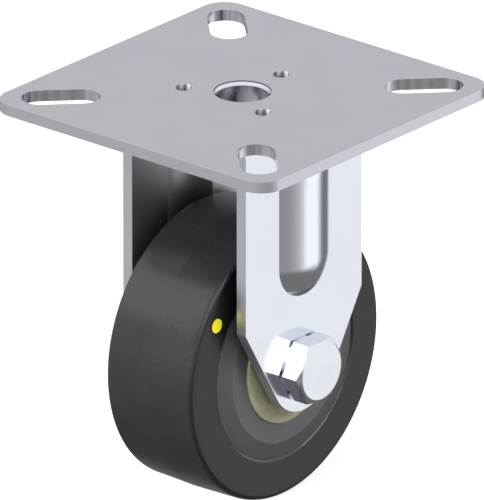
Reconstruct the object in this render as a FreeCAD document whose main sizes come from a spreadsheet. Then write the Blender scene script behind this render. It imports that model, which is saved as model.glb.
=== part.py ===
"""Fixed castor: square slotted top plate, U-shaped pressed fork, 80 mm wheel on two ball bearings.

Millimetres, +Z up, X along the axle, Y along the rolling direction. The origin is the centre of
the top plate's upper face, the face that is screwed to the equipment. "Front" is the +X side,
where the bolt's head is, and "rear" is the -X side, where the nut is.
"""
import FreeCAD, Part
import math
import os

import Sketcher
from FreeCAD import Placement, Rotation, Vector

# Every size of the castor: name, value (mm, degrees or a count), meaning.
DIMENSIONS = (
    # top plate and the collar drawn from it, which clamps the fork
    ("plate_side", 97.0, "side of the square plate"),
    ("plate_thick", 3.2, "thickness of the plate"),
    ("plate_corner", 7.0, "radius of the plate's corners"),
    ("slot_span", 21.5, "mounting slot, length end to end"),
    ("slot_width", 10.3, "mounting slot, width"),
    ("slot_inset", 19.489, "mounting slot, its centre from the square's corner on the diagonal"),
    ("slot_count", 4, "mounting slots"),
    ("bore_dia", 14.3, "bore of the collar"),
    ("rim_width", 0.75, "width of the chamfer round the bore"),
    ("rim_depth", 1.15, "depth of that chamfer"),
    ("collar_wall", 2.2, "wall of the collar"),
    ("flare_reach", 1.8, "how far the collar's lip reaches under the fork's web"),
    ("flare_thick", 1.8, "height of the lip"),
    ("flare_edge", 0.7, "straight rim of the lip"),
    ("pilot_dia", 4.9, "small holes through plate and web"),
    ("pilot_gap", 2.55, "small holes, from the collar's lip"),
    ("pilot_count", 3, "small holes"),
    # fork
    ("leg_gap", 2.3, "inside of each leg from the wheel's hub"),
    ("fork_thick", 3.2, "thickness of the fork's sheet"),
    ("fork_width", 48.6, "width of web and legs"),
    ("fork_bend", 1.0, "inside radius of the two bends"),
    ("axle_drop", 74.3, "axle below the plate's upper face"),
    ("leg_end", 12.9, "radius of the legs' round ends"),
    ("leg_shoulder", 16.0, "height over the axle down to which the legs stay at full width"),
    ("bead_half", 10.4, "half width of the pressed bead at the leg's face"),
    ("bead_rise", 3.4, "height of the bead over the leg's face"),
    ("bead_foot", 31.25, "centre of the bead's lower end, over the axle"),
    ("bead_head", 20.5, "centre of the bead's upper end, below the plate's upper face"),
    # axle bolt and lock nut
    ("bolt_dia", 10.0, "thread diameter"),
    ("bolt_play", 0.1, "play of the bolt in legs and bushes, on the radius"),
    ("hex_wall", 3.5, "flats of bolt head and nut, from the thread's outside"),
    ("head_height", 6.4, "height of the bolt's head"),
    ("face_thick", 0.6, "thickness of the washer faces"),
    ("face_step", 0.15, "washer faces smaller than the flats, on the radius"),
    ("crown_ratio", 0.95, "chamfer circle on the hexagons, share of the width across flats"),
    ("crown_slope", 30.0, "angle of that chamfer"),
    ("thread_pitch", 1.5, "thread pitch"),
    ("thread_depth", 0.85, "depth of the thread grooves"),
    ("thread_crest", 0.075, "flat crest between two grooves"),
    ("thread_turns", 16, "thread grooves cut on the bolt's end"),
    ("tip_chamfer", 0.9, "chamfer of the bolt's end"),
    ("tip_reach", 2.2, "bolt's end beyond the nut"),
    ("nut_hex", 7.6, "height of the lock nut's hexagon"),
    ("nut_play", 0.05, "play between nut and bolt, on the radius"),
    ("collet_step", 0.8, "nut's collar at the hexagon, smaller than the flats, on the radius"),
    ("collet_draw", 0.9, "collar's end smaller than its foot, on the radius"),
    ("collet_wall", 0.6, "collar's wall round the nylon ring at its end"),
    ("collet_lip", 0.5, "collar's lip beyond the nylon ring"),
    ("ring_height", 1.9, "height of the nylon ring"),
    # ball bearings
    ("bearing_outer", 32.0, "outside diameter"),
    ("bearing_bore", 15.0, "bore"),
    ("bearing_width", 9.0, "width"),
    ("bearing_sink", 1.2, "bearing below the core's hub face"),
    ("bearing_chamfer", 0.5, "chamfers of the rings"),
    ("ball_dia", 4.762, "ball diameter"),
    ("ball_count", 9, "balls in each bearing"),
    ("race_relief", 0.119, "raceway groove's radius over the ball's"),
    ("race_play", 0.04, "play between ball and raceway, on the radius"),
    ("land_gap", 3.0, "distance between the rings' shoulders, on the radius"),
    ("cage_gap", 0.5, "cage to each ring's shoulder"),
    ("cage_share", 0.52, "cage's rim, share of the room from ball pocket to shield"),
    ("pocket_play", 0.12, "play of a ball in its cage pocket, on the radius"),
    ("shield_thick", 0.5, "sheet of the shields"),
    ("shield_sink", 0.35, "shield below the ring's side face"),
    ("shield_seat", 0.65, "depth of the shield's seat in the outer ring"),
    ("shield_gap", 0.3, "shield to inner ring"),
    # bushes and sleeve
    ("flange_step", 0.45, "bush's flange smaller than the inner ring's shoulder, on the radius"),
    ("bush_relief", 0.3, "bush shorter than the bearing"),
    ("sleeve_step", 1.25, "sleeve smaller than the inner ring's shoulder, on the radius"),
    ("sleeve_play", 0.2, "sleeve to bolt, on the radius"),
    # wheel
    ("wheel_dia", 80.0, "wheel diameter at its middle plane"),
    ("tyre_width", 30.0, "width of the tyre"),
    ("tread_slope", 1.5, "taper of the tread to each side"),
    ("tyre_edge", 1.5, "radius of the tread's edges"),
    ("tyre_inner", 57.2, "diameter where the tyre's side face ends"),
    ("tyre_lip", 0.4, "chamfer of the tyre's side face at the core"),
    ("key_share", 0.3, "ridge that keys the tyre to the core, share of the tyre's height"),
    ("key_top", 10.0, "width of the ridge at its top"),
    ("key_foot", 14.0, "width of the ridge at its foot"),
    ("hub_rise", 1.2, "core's flat hub face over the tyre's side face"),
    ("step_dia", 46.7, "diameter where the hub's flat face turns into the cone"),
    ("step_round", 0.4, "rounding of that edge"),
    ("seat_shoulder", 2.5, "shoulder of the core that each bearing rests on"),
    ("cover_ledge", 1.45, "ledge of the core that each hub cover sits on"),
    ("cover_thick", 1.5, "thickness of the hub covers"),
    ("cover_lift", 0.3, "hub cover to bearing"),
    ("cover_gap", 0.4, "hub cover to the bush's flange, on the radius"),
    ("cover_round", 0.35, "rounded edge of the hub covers"),
    ("mark_share", 0.351, "diameter of the tyre's coloured mark, share of the tyre's height"),
    ("mark_place", 0.4825, "mark's centre over the core, share of the tyre's height"),
    ("mark_angle", 146.6, "mark's angle from +Y towards +Z"),
    ("mark_depth", 0.8, "depth of the mark's pocket"),
    ("mark_proud", 0.12, "mark's rim over the tyre's side face"),
    ("mark_rim", 0.35, "width of the mark's rim"),
    # how far cutting shapes run past the material
    ("run_out", 2.0, "overrun of cuts"),
)

LEFT, RIGHT = "left", "right"
SIDES = (("front", 1), ("rear", -1))


class Size:
    """A length, angle or count that knows its value and its expression on the sheet."""

    def __init__(self, value, text):
        self.value = float(value)
        self.text = text

    def __add__(self, other):
        other = size(other)
        return Size(self.value + other.value, "(%s + %s)" % (self.text, other.text))

    def __sub__(self, other):
        other = size(other)
        return Size(self.value - other.value, "(%s - %s)" % (self.text, other.text))

    def __rsub__(self, other):
        return size(other) - self

    def __mul__(self, other):
        other = size(other)
        return Size(self.value * other.value, "%s * %s" % (self.text, other.text))

    def __truediv__(self, other):
        other = size(other)
        return Size(self.value / other.value, "%s / (%s)" % (self.text, other.text))

    def __neg__(self):
        return Size(-self.value, "(0 - %s)" % self.text)

    def is_zero(self):
        return self.text == "0"


def size(item):
    """Take a Size as it is, and a plain number as a Size."""
    return item if isinstance(item, Size) else Size(item, "%g" % item)


def root(item):
    return Size(math.sqrt(item.value), "sqrt(%s)" % item.text)


def cosine(angle):
    return Size(math.cos(math.radians(angle.value)), "cos(%s * 1 deg)" % angle.text)


def sine(angle):
    return Size(math.sin(math.radians(angle.value)), "sin(%s * 1 deg)" % angle.text)


def tangent(angle):
    return Size(math.tan(math.radians(angle.value)), "tan(%s * 1 deg)" % angle.text)


class Dimensions:
    """The sheet of sizes; each size is read as an attribute."""

    def __init__(self, document, table):
        sheet = document.addObject("Spreadsheet::Sheet", "dims")
        for row, (name, value, meaning) in enumerate(table, start=1):
            sheet.set("A%d" % row, name)
            sheet.set("B%d" % row, str(value))
            sheet.set("C%d" % row, meaning)
            sheet.setAlias("B%d" % row, name)
            setattr(self, name, Size(value, "dims.%s" % name))


doc = FreeCAD.newDocument("fixed_castor")
dim = Dimensions(doc, DIMENSIONS)
doc.recompute()


# Sketches


def pin(sketch, geometry, position, x=None, y=None):
    """Tie a sketch point's coordinates to sizes counted from the sketch's origin."""
    for kind, axis, place in (("DistanceX", -2, x), ("DistanceY", -1, y)):
        if place is None:
            continue
        place = size(place)
        if place.is_zero():
            sketch.addConstraint(Sketcher.Constraint("PointOnObject", geometry, position, axis))
            continue
        index = sketch.addConstraint(
            Sketcher.Constraint(kind, -1, 1, geometry, position, place.value))
        sketch.setExpression("Constraints[%d]" % index, place.text)


def point_at(x, y):
    return Vector(size(x).value, size(y).value, 0)


def contour(sketch, corners):
    """Draw a closed contour through the corners and tie each corner to its sizes.

    A corner is (x, y). A corner that an arc leads to is (x, y, centre, turn): centre is the
    arc's (x, y), and turn is LEFT for a counter-clockwise arc and RIGHT for a clockwise one.
    """
    pieces = []
    for index, corner in enumerate(corners):
        start, end = point_at(*corners[index - 1][:2]), point_at(*corner[:2])
        if len(corner) == 2:
            line = sketch.addGeometry(Part.LineSegment(start, end), False)
            pieces.append((line, 1, 2))
            continue
        centre, turn = point_at(*corner[2]), corner[3]
        first, last = (start, end) if turn == LEFT else (end, start)
        angles = [math.atan2((p - centre).y, (p - centre).x) for p in (first, last)]
        if angles[1] < angles[0]:
            angles[1] += 2 * math.pi
        circle = Part.Circle(centre, Vector(0, 0, 1), (start - centre).Length)
        arc = sketch.addGeometry(Part.ArcOfCircle(circle, *angles), False)
        pieces.append((arc, 1, 2) if turn == LEFT else (arc, 2, 1))
    for index, (geometry, start, _) in enumerate(pieces):
        before, _, end = pieces[index - 1]
        sketch.addConstraint(Sketcher.Constraint("Coincident", before, end, geometry, start))
    for index, (corner, (geometry, _, end)) in enumerate(zip(corners, pieces)):
        pin(sketch, geometry, end, corner[0], corner[1])
        if len(corner) > 2:
            chord = point_at(*corner[:2]) - point_at(*corners[index - 1][:2])
            if abs(chord.x) > abs(chord.y):
                pin(sketch, geometry, 3, y=corner[2][1])
            else:
                pin(sketch, geometry, 3, x=corner[2][0])


def circle(sketch, x, y, diameter):
    """Draw a circle and tie its centre and diameter to sizes."""
    ring = Part.Circle(point_at(x, y), Vector(0, 0, 1), diameter.value / 2)
    geometry = sketch.addGeometry(ring, False)
    pin(sketch, geometry, 3, x, y)
    index = sketch.addConstraint(Sketcher.Constraint("Diameter", geometry, diameter.value))
    sketch.setExpression("Constraints[%d]" % index, diameter.text)


def hexagon(sketch, flats):
    """Draw a hexagon of this width across flats, with two corners on the sketch's X axis."""
    corner = flats / root(size(3))
    contour(sketch, (
        (corner, 0), (corner / 2, flats / 2), (-corner / 2, flats / 2),
        (-corner, 0), (-corner / 2, -flats / 2), (corner / 2, -flats / 2)))


# Bodies and features


def new_body(label, x=None, drop=None, turned=False):
    """Start a body; x and drop move its frame along X and down, turned points its +X to -X."""
    body = doc.addObject("PartDesign::Body", label)
    body.Label = label
    if turned:
        body.Placement = Placement(Vector(0, 0, 0), Rotation(Vector(0, 0, 1), 180))
    if x is not None:
        body.setExpression("Placement.Base.x", x.text)
    if drop is not None:
        body.setExpression("Placement.Base.z", (-drop).text)
    return body


def sketch_in(body, name, role, shift=None, lift=None, turn=None):
    """Start a sketch on one of the body's own planes.

    shift moves it along its own X, lift along its normal, and turn rotates it in the plane.
    """
    sketch = body.newObject("Sketcher::SketchObject", "%s_%s" % (body.Label, name))
    plane = next(item for item in body.Origin.OriginFeatures if item.Role == role)
    sketch.AttachmentSupport = [(plane, "")]
    sketch.MapMode = "FlatFace"
    if turn is not None:
        sketch.AttachmentOffset = Placement(Vector(0, 0, 0), Rotation(Vector(0, 0, 1), turn.value))
        sketch.setExpression("AttachmentOffset.Rotation.Angle", turn.text)
    if shift is not None:
        sketch.setExpression("AttachmentOffset.Base.x", shift.text)
    if lift is not None:
        sketch.setExpression("AttachmentOffset.Base.z", lift.text)
    return sketch


def volume_of(body):
    return body.Shape.Volume if body.Shape and not body.Shape.isNull() else 0.0


def finish_feature(body, feature, adds):
    """Make the feature the body's tip, recompute, and see that it added or cut material."""
    before = volume_of(body)
    body.Tip = feature
    doc.recompute()
    change = volume_of(body) - before
    if (adds and change <= 0) or (not adds and change >= 0):
        raise RuntimeError("%s changed the volume by %.4f" % (feature.Name, change))
    return feature


def feature_in(body, kind, name, sketch):
    feature = body.newObject("PartDesign::" + kind, "%s_%s" % (body.Label, name))
    feature.Profile = sketch
    sketch.Visibility = False
    return feature


def pad(body, name, sketch, length, both_sides=False, downwards=False):
    feature = feature_in(body, "Pad", name, sketch)
    feature.SideType = "Symmetric" if both_sides else "One side"
    feature.Reversed = downwards
    feature.setExpression("Length", length.text)
    return finish_feature(body, feature, adds=True)


def cut_through(body, name, sketch):
    feature = feature_in(body, "Pocket", name, sketch)
    feature.Type = "ThroughAll"
    feature.SideType = "Symmetric"
    return finish_feature(body, feature, adds=False)


def cut_outwards(body, name, sketch, length):
    """Cut from the sketch along its normal."""
    feature = feature_in(body, "Pocket", name, sketch)
    feature.SideType = "One side"
    feature.Reversed = True
    feature.setExpression("Length", length.text)
    return finish_feature(body, feature, adds=False)


def turn_about(body, name, sketch, axis="H_Axis", adds=True):
    """Revolve the sketch round one of its own axes, as material or as a cut."""
    feature = feature_in(body, "Revolution" if adds else "Groove", name, sketch)
    feature.ReferenceAxis = (sketch, [axis])
    feature.Angle = 360
    return finish_feature(body, feature, adds)


def repeat_round(body, name, original, axis, count):
    """Repeat a cut round an axis of the body, evenly over the full circle."""
    feature = body.newObject("PartDesign::PolarPattern", "%s_%s" % (body.Label, name))
    feature.Originals = [original]
    line = next(item for item in body.Origin.OriginFeatures if item.Role == axis)
    feature.Axis = (line, [""])
    feature.Angle = 360
    feature.setExpression("Occurrences", count.text)
    return finish_feature(body, feature, adds=False)


def mirror_across(body, name, original, role, adds):
    """Mirror a feature across one of the body's own planes."""
    feature = body.newObject("PartDesign::Mirrored", "%s_%s" % (body.Label, name))
    feature.Originals = [original]
    plane = next(item for item in body.Origin.OriginFeatures if item.Role == role)
    feature.MirrorPlane = (plane, [""])
    return finish_feature(body, feature, adds)


def round_circles(body, name, radius, diameter):
    """Round every circular edge of the body that has this diameter."""
    names, base = [], body.Tip
    for index, edge in enumerate(base.Shape.Edges, start=1):
        curve = edge.Curve
        if isinstance(curve, Part.Circle) and abs(2 * curve.Radius - diameter.value) < 1e-4:
            names.append("Edge%d" % index)
    feature = body.newObject("PartDesign::Fillet", "%s_%s" % (body.Label, name))
    feature.Base = (base, names)
    feature.setExpression("Radius", radius.text)
    return finish_feature(body, feature, adds=False)


# Sizes that several pieces share

web_top = -dim.plate_thick
web_under = web_top - dim.fork_thick
hub_face = dim.tyre_width / 2 + dim.hub_rise
leg_inner = hub_face + dim.leg_gap
leg_outer = leg_inner + dim.fork_thick
collar_radius = dim.bore_dia / 2 + dim.collar_wall
lip_reach = collar_radius + dim.flare_reach
pilot_reach = lip_reach + dim.pilot_gap + dim.pilot_dia / 2
bolt_hole = dim.bolt_dia + dim.bolt_play * 2

hex_flats = dim.bolt_dia + dim.hex_wall * 2
face_radius = hex_flats / 2 - dim.face_step
nut_height = dim.nut_hex + dim.ring_height + dim.collet_lip
collet_foot = hex_flats / 2 - dim.collet_step
collet_top = collet_foot - dim.collet_draw
ring_radius = collet_top - dim.collet_wall

bearing_face = hub_face - dim.bearing_sink
bearing_back = bearing_face - dim.bearing_width
bearing_middle = bearing_face - dim.bearing_width / 2
pitch_radius = (dim.bearing_outer + dim.bearing_bore) / 4
ball_radius = dim.ball_dia / 2
race_radius = ball_radius + dim.race_relief
pocket_radius = ball_radius + dim.pocket_play
land_inner = pitch_radius - dim.land_gap / 2
land_outer = pitch_radius + dim.land_gap / 2
shield_outside = dim.bearing_width / 2 - dim.shield_sink
shield_inside = shield_outside - dim.shield_thick
shield_radius = land_outer + dim.shield_seat
flange_radius = land_inner - dim.flange_step

lip_radius = dim.tyre_inner / 2 - dim.tyre_lip
lip_face = dim.tyre_width / 2 - dim.tyre_lip
cover_face = bearing_face + dim.cover_lift
cover_radius = dim.bearing_outer / 2 + dim.cover_ledge
tyre_height = dim.wheel_dia / 2 - dim.tyre_inner / 2
key_radius = dim.tyre_inner / 2 + tyre_height * dim.key_share
mark_dia = tyre_height * dim.mark_share
mark_reach = dim.tyre_inner / 2 + tyre_height * dim.mark_place
mark_y = mark_reach * cosine(dim.mark_angle)
mark_z = mark_reach * sine(dim.mark_angle)
mark_floor = dim.tyre_width / 2 - dim.mark_depth


def make_top_plate():
    """Square plate with a drawn collar whose flared lip holds the fork's web."""
    body = new_body("top_plate")
    half = dim.plate_side / 2
    flat = half - dim.plate_corner
    outline = sketch_in(body, "outline", "XY_Plane")
    contour(outline, (
        (half, -flat), (half, flat), (flat, half, (flat, flat), LEFT),
        (-flat, half), (-half, flat, (-flat, flat), LEFT),
        (-half, -flat), (-flat, -half, (-flat, -flat), LEFT),
        (flat, -half), (half, -flat, (flat, -flat), LEFT))[1:])
    pad(body, "sheet", outline, dim.plate_thick, downwards=True)

    bore = dim.bore_dia / 2
    lip_end = web_under - dim.flare_thick
    collar = sketch_in(body, "collar", "XZ_Plane")
    contour(collar, (
        (bore, web_top / 2), (bore, lip_end), (collar_radius, lip_end),
        (lip_reach, web_under - dim.flare_edge), (lip_reach, web_under),
        (collar_radius, web_under), (collar_radius, web_top / 2)))
    turn_about(body, "collar_turn", collar, axis="V_Axis")

    rim = bore + dim.rim_width
    opening = sketch_in(body, "opening", "XZ_Plane")
    contour(opening, (
        (0, dim.run_out), (0, lip_end - dim.run_out), (bore, lip_end - dim.run_out),
        (bore, -dim.rim_depth), (rim, 0), (rim, dim.run_out)))
    turn_about(body, "bore", opening, axis="V_Axis", adds=False)

    radius = dim.slot_width / 2
    reach = dim.plate_side / root(size(2)) - dim.slot_inset
    near = reach - dim.slot_span / 2 + radius
    far = reach + dim.slot_span / 2 - radius
    slot = sketch_in(body, "slot_outline", "XY_Plane", turn=size(45))
    contour(slot, (
        (near, -radius), (far, -radius), (far, radius, (far, 0), LEFT),
        (near, radius), (near, -radius, (near, 0), LEFT))[1:])
    slot_cut = cut_through(body, "slot", slot)
    repeat_round(body, "slots", slot_cut, "Z_Axis", dim.slot_count)

    pilot = sketch_in(body, "pilot_outline", "XY_Plane")
    circle(pilot, 0, pilot_reach, dim.pilot_dia)
    pilot_cut = cut_through(body, "pilot", pilot)
    repeat_round(body, "pilots", pilot_cut, "Z_Axis", dim.pilot_count)
    return body


def make_fork():
    """One sheet bent to a U, each leg stiffened by a bead pressed outwards."""
    body = new_body("fork")
    bend = dim.fork_bend + dim.fork_thick
    below = -dim.axle_drop - dim.leg_end - dim.run_out
    block = sketch_in(body, "outside", "XZ_Plane")
    contour(block, (
        (leg_outer, below), (leg_outer, web_top - bend),
        (leg_outer - bend, web_top, (leg_outer - bend, web_top - bend), LEFT),
        (bend - leg_outer, web_top),
        (-leg_outer, web_top - bend, (bend - leg_outer, web_top - bend), LEFT),
        (-leg_outer, below)))
    pad(body, "block", block, dim.fork_width, both_sides=True)

    # The bead's outside is part of a cylinder with ball-shaped ends, its inside the same with
    # the sheet's thickness taken off. Each is drawn from half a sheet's depth outwards.
    bead_radius = ((dim.bead_half * dim.bead_half + dim.bead_rise * dim.bead_rise)
                   / (dim.bead_rise * 2))
    bead_x = leg_outer + dim.bead_rise - bead_radius
    bead_top, bead_low = -dim.bead_head, dim.bead_foot - dim.axle_drop

    def bead_sketch(name, radius, face):
        start = face - dim.fork_thick / 2 - bead_x
        half = root(radius * radius - start * start)
        sketch = sketch_in(body, name, "XZ_Plane", shift=bead_x)
        contour(sketch, (
            (start, bead_top + half), (start, bead_low - half),
            (radius, bead_low, (0, bead_low), LEFT), (radius, bead_top),
            (start, bead_top + half, (0, bead_top), LEFT))[1:])
        return sketch

    bead_outline = bead_sketch("bead_outline", bead_radius, leg_outer)
    outside = turn_about(body, "bead", bead_outline, "V_Axis")
    mirror_across(body, "bead_mirror", outside, "YZ_Plane", adds=True)

    turn = dim.fork_bend
    room = sketch_in(body, "inside", "XZ_Plane")
    contour(room, (
        (leg_inner, below - dim.run_out), (leg_inner, web_under - turn),
        (leg_inner - turn, web_under, (leg_inner - turn, web_under - turn), LEFT),
        (turn - leg_inner, web_under),
        (-leg_inner, web_under - turn, (turn - leg_inner, web_under - turn), LEFT),
        (-leg_inner, below - dim.run_out)))
    cut_through(body, "room", room)
    hollow_outline = bead_sketch("hollow_outline", bead_radius - dim.fork_thick, leg_inner)
    hollow = turn_about(body, "bead_hollow", hollow_outline, "V_Axis", adds=False)
    mirror_across(body, "hollow_mirror", hollow, "YZ_Plane", adds=False)

    # The legs taper from their shoulders along lines tangent to their round ends.
    side = dim.fork_width / 2
    rise, end = dim.leg_shoulder, dim.leg_end
    square = side * side + rise * rise
    line = root(square - end * end)
    touch_y = (end * end * side + end * line * rise) / square
    touch_z = (end * end * rise - end * line * side) / square - dim.axle_drop
    shoulder = rise - dim.axle_drop
    wide, low = side + dim.run_out, below - dim.run_out
    taper = sketch_in(body, "taper_outline", "YZ_Plane")
    contour(taper, (
        (-wide, shoulder), (-side, shoulder), (-touch_y, touch_z),
        (touch_y, touch_z, (0, -dim.axle_drop), LEFT), (side, shoulder), (wide, shoulder),
        (wide, low), (-wide, low)))
    cut_through(body, "taper", taper)

    axle = sketch_in(body, "axle_outline", "YZ_Plane")
    circle(axle, 0, -dim.axle_drop, bolt_hole)
    cut_through(body, "axle_holes", axle)
    centre = sketch_in(body, "collar_outline", "XY_Plane")
    circle(centre, 0, 0, collar_radius * 2)
    cut_through(body, "collar_hole", centre)
    pilot = sketch_in(body, "pilot_outline", "XY_Plane")
    circle(pilot, 0, pilot_reach, dim.pilot_dia)
    pilot_cut = cut_through(body, "pilot", pilot)
    repeat_round(body, "pilots", pilot_cut, "Z_Axis", dim.pilot_count)
    return body


def crown(body, name, top, flats, pointing):
    """Cut the chamfer that rounds off a hexagon's corners at the face at x = top."""
    low = flats / 2 * dim.crown_ratio
    high = flats / root(size(3)) + dim.run_out
    back = (high - low) * tangent(dim.crown_slope)
    sketch = sketch_in(body, name + "_outline", "XY_Plane")
    inner = top - back if pointing > 0 else top + back
    contour(sketch, ((top, low), (top, high), (inner, high)))
    turn_about(body, name, sketch, adds=False)


def make_axle_bolt():
    """Hexagon bolt from the front leg through both legs and the nut."""
    body = new_body("axle_bolt", drop=dim.axle_drop)
    radius = dim.bolt_dia / 2
    face = leg_outer + dim.face_thick
    tip = -leg_outer - nut_height - dim.tip_reach
    shank = sketch_in(body, "shank_outline", "XY_Plane")
    contour(shank, (
        (tip, 0), (face, 0), (face, face_radius), (leg_outer, face_radius),
        (leg_outer, radius), (tip + dim.tip_chamfer, radius), (tip, radius - dim.tip_chamfer)))
    turn_about(body, "shank", shank)

    head = sketch_in(body, "head_outline", "YZ_Plane", lift=face)
    hexagon(head, hex_flats)
    pad(body, "head", head, dim.head_height - dim.face_thick)
    crown(body, "head_crown", leg_outer + dim.head_height, hex_flats, 1)

    half = dim.thread_pitch / 2
    flank = half - dim.thread_crest / 2
    groove = sketch_in(body, "groove_outline", "XY_Plane")
    middle = tip + dim.tip_chamfer + half
    contour(groove, (
        (middle - flank, radius), (middle, radius - dim.thread_depth), (middle + flank, radius)))
    first = turn_about(body, "groove", groove, adds=False)
    thread = body.newObject("PartDesign::LinearPattern", "axle_bolt_thread")
    thread.Originals = [first]
    line = next(item for item in body.Origin.OriginFeatures if item.Role == "X_Axis")
    thread.Direction = (line, [""])
    thread.setExpression("Length", (dim.thread_pitch * (dim.thread_turns - 1)).text)
    thread.setExpression("Occurrences", dim.thread_turns.text)
    finish_feature(body, thread, adds=False)
    return body


def make_lock_nut():
    """Lock nut with its washer face on the rear leg, its collar round a nylon ring."""
    body = new_body("lock_nut", x=-leg_outer, drop=dim.axle_drop, turned=True)
    bore = dim.bolt_dia / 2 + dim.nut_play
    collar = sketch_in(body, "collar_outline", "XY_Plane")
    contour(collar, (
        (0, 0), (nut_height, 0), (nut_height, collet_top), (dim.nut_hex, collet_foot),
        (dim.face_thick, face_radius), (0, face_radius)))
    turn_about(body, "collar", collar)
    flats = sketch_in(body, "hexagon_outline", "YZ_Plane", lift=dim.face_thick)
    hexagon(flats, hex_flats)
    pad(body, "hexagon", flats, dim.nut_hex - dim.face_thick)
    crown(body, "top_crown", dim.nut_hex, hex_flats, 1)
    hole = sketch_in(body, "hole_outline", "XY_Plane")
    contour(hole, (
        (-dim.run_out, 0), (nut_height + dim.run_out, 0),
        (nut_height + dim.run_out, bore), (dim.nut_hex + dim.ring_height, bore),
        (dim.nut_hex + dim.ring_height, ring_radius), (dim.nut_hex, ring_radius),
        (dim.nut_hex, bore), (-dim.run_out, bore)))
    turn_about(body, "hole", hole, adds=False)
    return body


def make_lock_nut_ring():
    """Nylon ring in the lock nut's collar."""
    body = new_body("lock_nut_ring", x=-leg_outer, drop=dim.axle_drop, turned=True)
    bore = dim.bolt_dia / 2 + dim.nut_play
    end = dim.nut_hex + dim.ring_height
    ring = sketch_in(body, "outline", "XY_Plane")
    contour(ring, (
        (dim.nut_hex, bore), (end, bore), (end, ring_radius), (dim.nut_hex, ring_radius)))
    turn_about(body, "ring", ring)
    return body


def make_bush(side, sign):
    """Flanged bush: spigot in the bearing's inner ring, flange against the leg."""
    body = new_body("bush_" + side, drop=dim.axle_drop, turned=sign < 0)
    bore = bolt_hole / 2
    spigot = dim.bearing_bore / 2
    start = bearing_back + dim.bush_relief
    profile = sketch_in(body, "outline", "XY_Plane")
    contour(profile, (
        (start, bore), (leg_inner, bore), (leg_inner, flange_radius),
        (bearing_face, flange_radius), (bearing_face, spigot), (start, spigot)))
    turn_about(body, "turned", profile)
    return body


def make_spacer_sleeve():
    """Sleeve that keeps the two inner rings apart."""
    body = new_body("spacer_sleeve", drop=dim.axle_drop)
    bore, outside = dim.bolt_dia / 2 + dim.sleeve_play, land_inner - dim.sleeve_step
    profile = sketch_in(body, "outline", "XY_Plane")
    contour(profile, (
        (-bearing_back, bore), (bearing_back, bore), (bearing_back, outside),
        (-bearing_back, outside)))
    turn_about(body, "turned", profile)
    return body


def make_inner_ring(side, sign):
    """Inner ring; its groove is a circle's arc that clears the balls by the race play."""
    body = new_body("inner_ring_" + side, x=bearing_middle * sign, drop=dim.axle_drop)
    half, bore, cut = dim.bearing_width / 2, dim.bearing_bore / 2, dim.bearing_chamfer
    centre = pitch_radius - ball_radius - dim.race_play + race_radius
    deep = centre - land_inner
    reach = root(race_radius * race_radius - deep * deep)
    profile = sketch_in(body, "outline", "XY_Plane")
    contour(profile, (
        (-half + cut, bore), (half - cut, bore), (half, bore + cut), (half, land_inner),
        (reach, land_inner), (-reach, land_inner, (0, centre), RIGHT), (-half, land_inner),
        (-half, bore + cut)))
    turn_about(body, "turned", profile)
    return body


def make_outer_ring(side, sign):
    """Outer ring with a seat for a shield at each side."""
    body = new_body("outer_ring_" + side, x=bearing_middle * sign, drop=dim.axle_drop)
    half, outer, cut = dim.bearing_width / 2, dim.bearing_outer / 2, dim.bearing_chamfer
    centre = pitch_radius + ball_radius + dim.race_play - race_radius
    deep = land_outer - centre
    reach = root(race_radius * race_radius - deep * deep)
    profile = sketch_in(body, "outline", "XY_Plane")
    contour(profile, (
        (-half, shield_radius), (-shield_inside, shield_radius), (-shield_inside, land_outer),
        (-reach, land_outer), (reach, land_outer, (0, centre), RIGHT),
        (shield_inside, land_outer), (shield_inside, shield_radius), (half, shield_radius),
        (half, outer - cut), (half - cut, outer), (-half + cut, outer), (-half, outer - cut)))
    turn_about(body, "turned", profile)
    return body


def make_shield(side, sign, place, facing):
    """Sheet shield in the outer ring; facing is +1 on the bearing's +X side and -1 on the other."""
    body = new_body("shield_%s_%s" % (side, place), x=bearing_middle * sign, drop=dim.axle_drop)
    near, far = sorted(
        (shield_inside * facing, shield_outside * facing), key=lambda item: item.value)
    inner = land_inner + dim.shield_gap
    profile = sketch_in(body, "outline", "XY_Plane")
    contour(profile, ((near, inner), (far, inner), (far, shield_radius), (near, shield_radius)))
    turn_about(body, "turned", profile)
    return body


def make_cage(side, sign):
    """Moulded cage with one round pocket for each ball."""
    body = new_body("cage_" + side, x=bearing_middle * sign, drop=dim.axle_drop)
    half = pocket_radius + (shield_inside - pocket_radius) * dim.cage_share
    low, high = land_inner + dim.cage_gap, land_outer - dim.cage_gap
    profile = sketch_in(body, "outline", "XY_Plane")
    contour(profile, ((-half, low), (half, low), (half, high), (-half, high)))
    turn_about(body, "turned", profile)
    pocket = sketch_in(body, "pocket_outline", "XY_Plane")
    circle(pocket, 0, 0, pocket_radius * 2)
    pocket_cut = cut_outwards(body, "pocket", pocket, high + dim.run_out)
    repeat_round(body, "pockets", pocket_cut, "X_Axis", dim.ball_count)
    return body


def make_balls(side, sign):
    """Balls on the pitch circle, the first one straight above the axle."""
    balls = []
    for number in range(int(dim.ball_count.value)):
        ball = doc.addObject("Part::Sphere", "ball_%s_%d" % (side, number + 1))
        ball.Label = "ball_%s_%d" % (side, number + 1)
        angle = size(360 * number) / dim.ball_count
        ball.setExpression("Radius", ball_radius.text)
        ball.setExpression("Placement.Base.x", (bearing_middle * sign).text)
        ball.setExpression("Placement.Base.y", (-pitch_radius * sine(angle)).text)
        ball.setExpression("Placement.Base.z", (pitch_radius * cosine(angle) - dim.axle_drop).text)
        balls.append(ball)
    return balls


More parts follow.
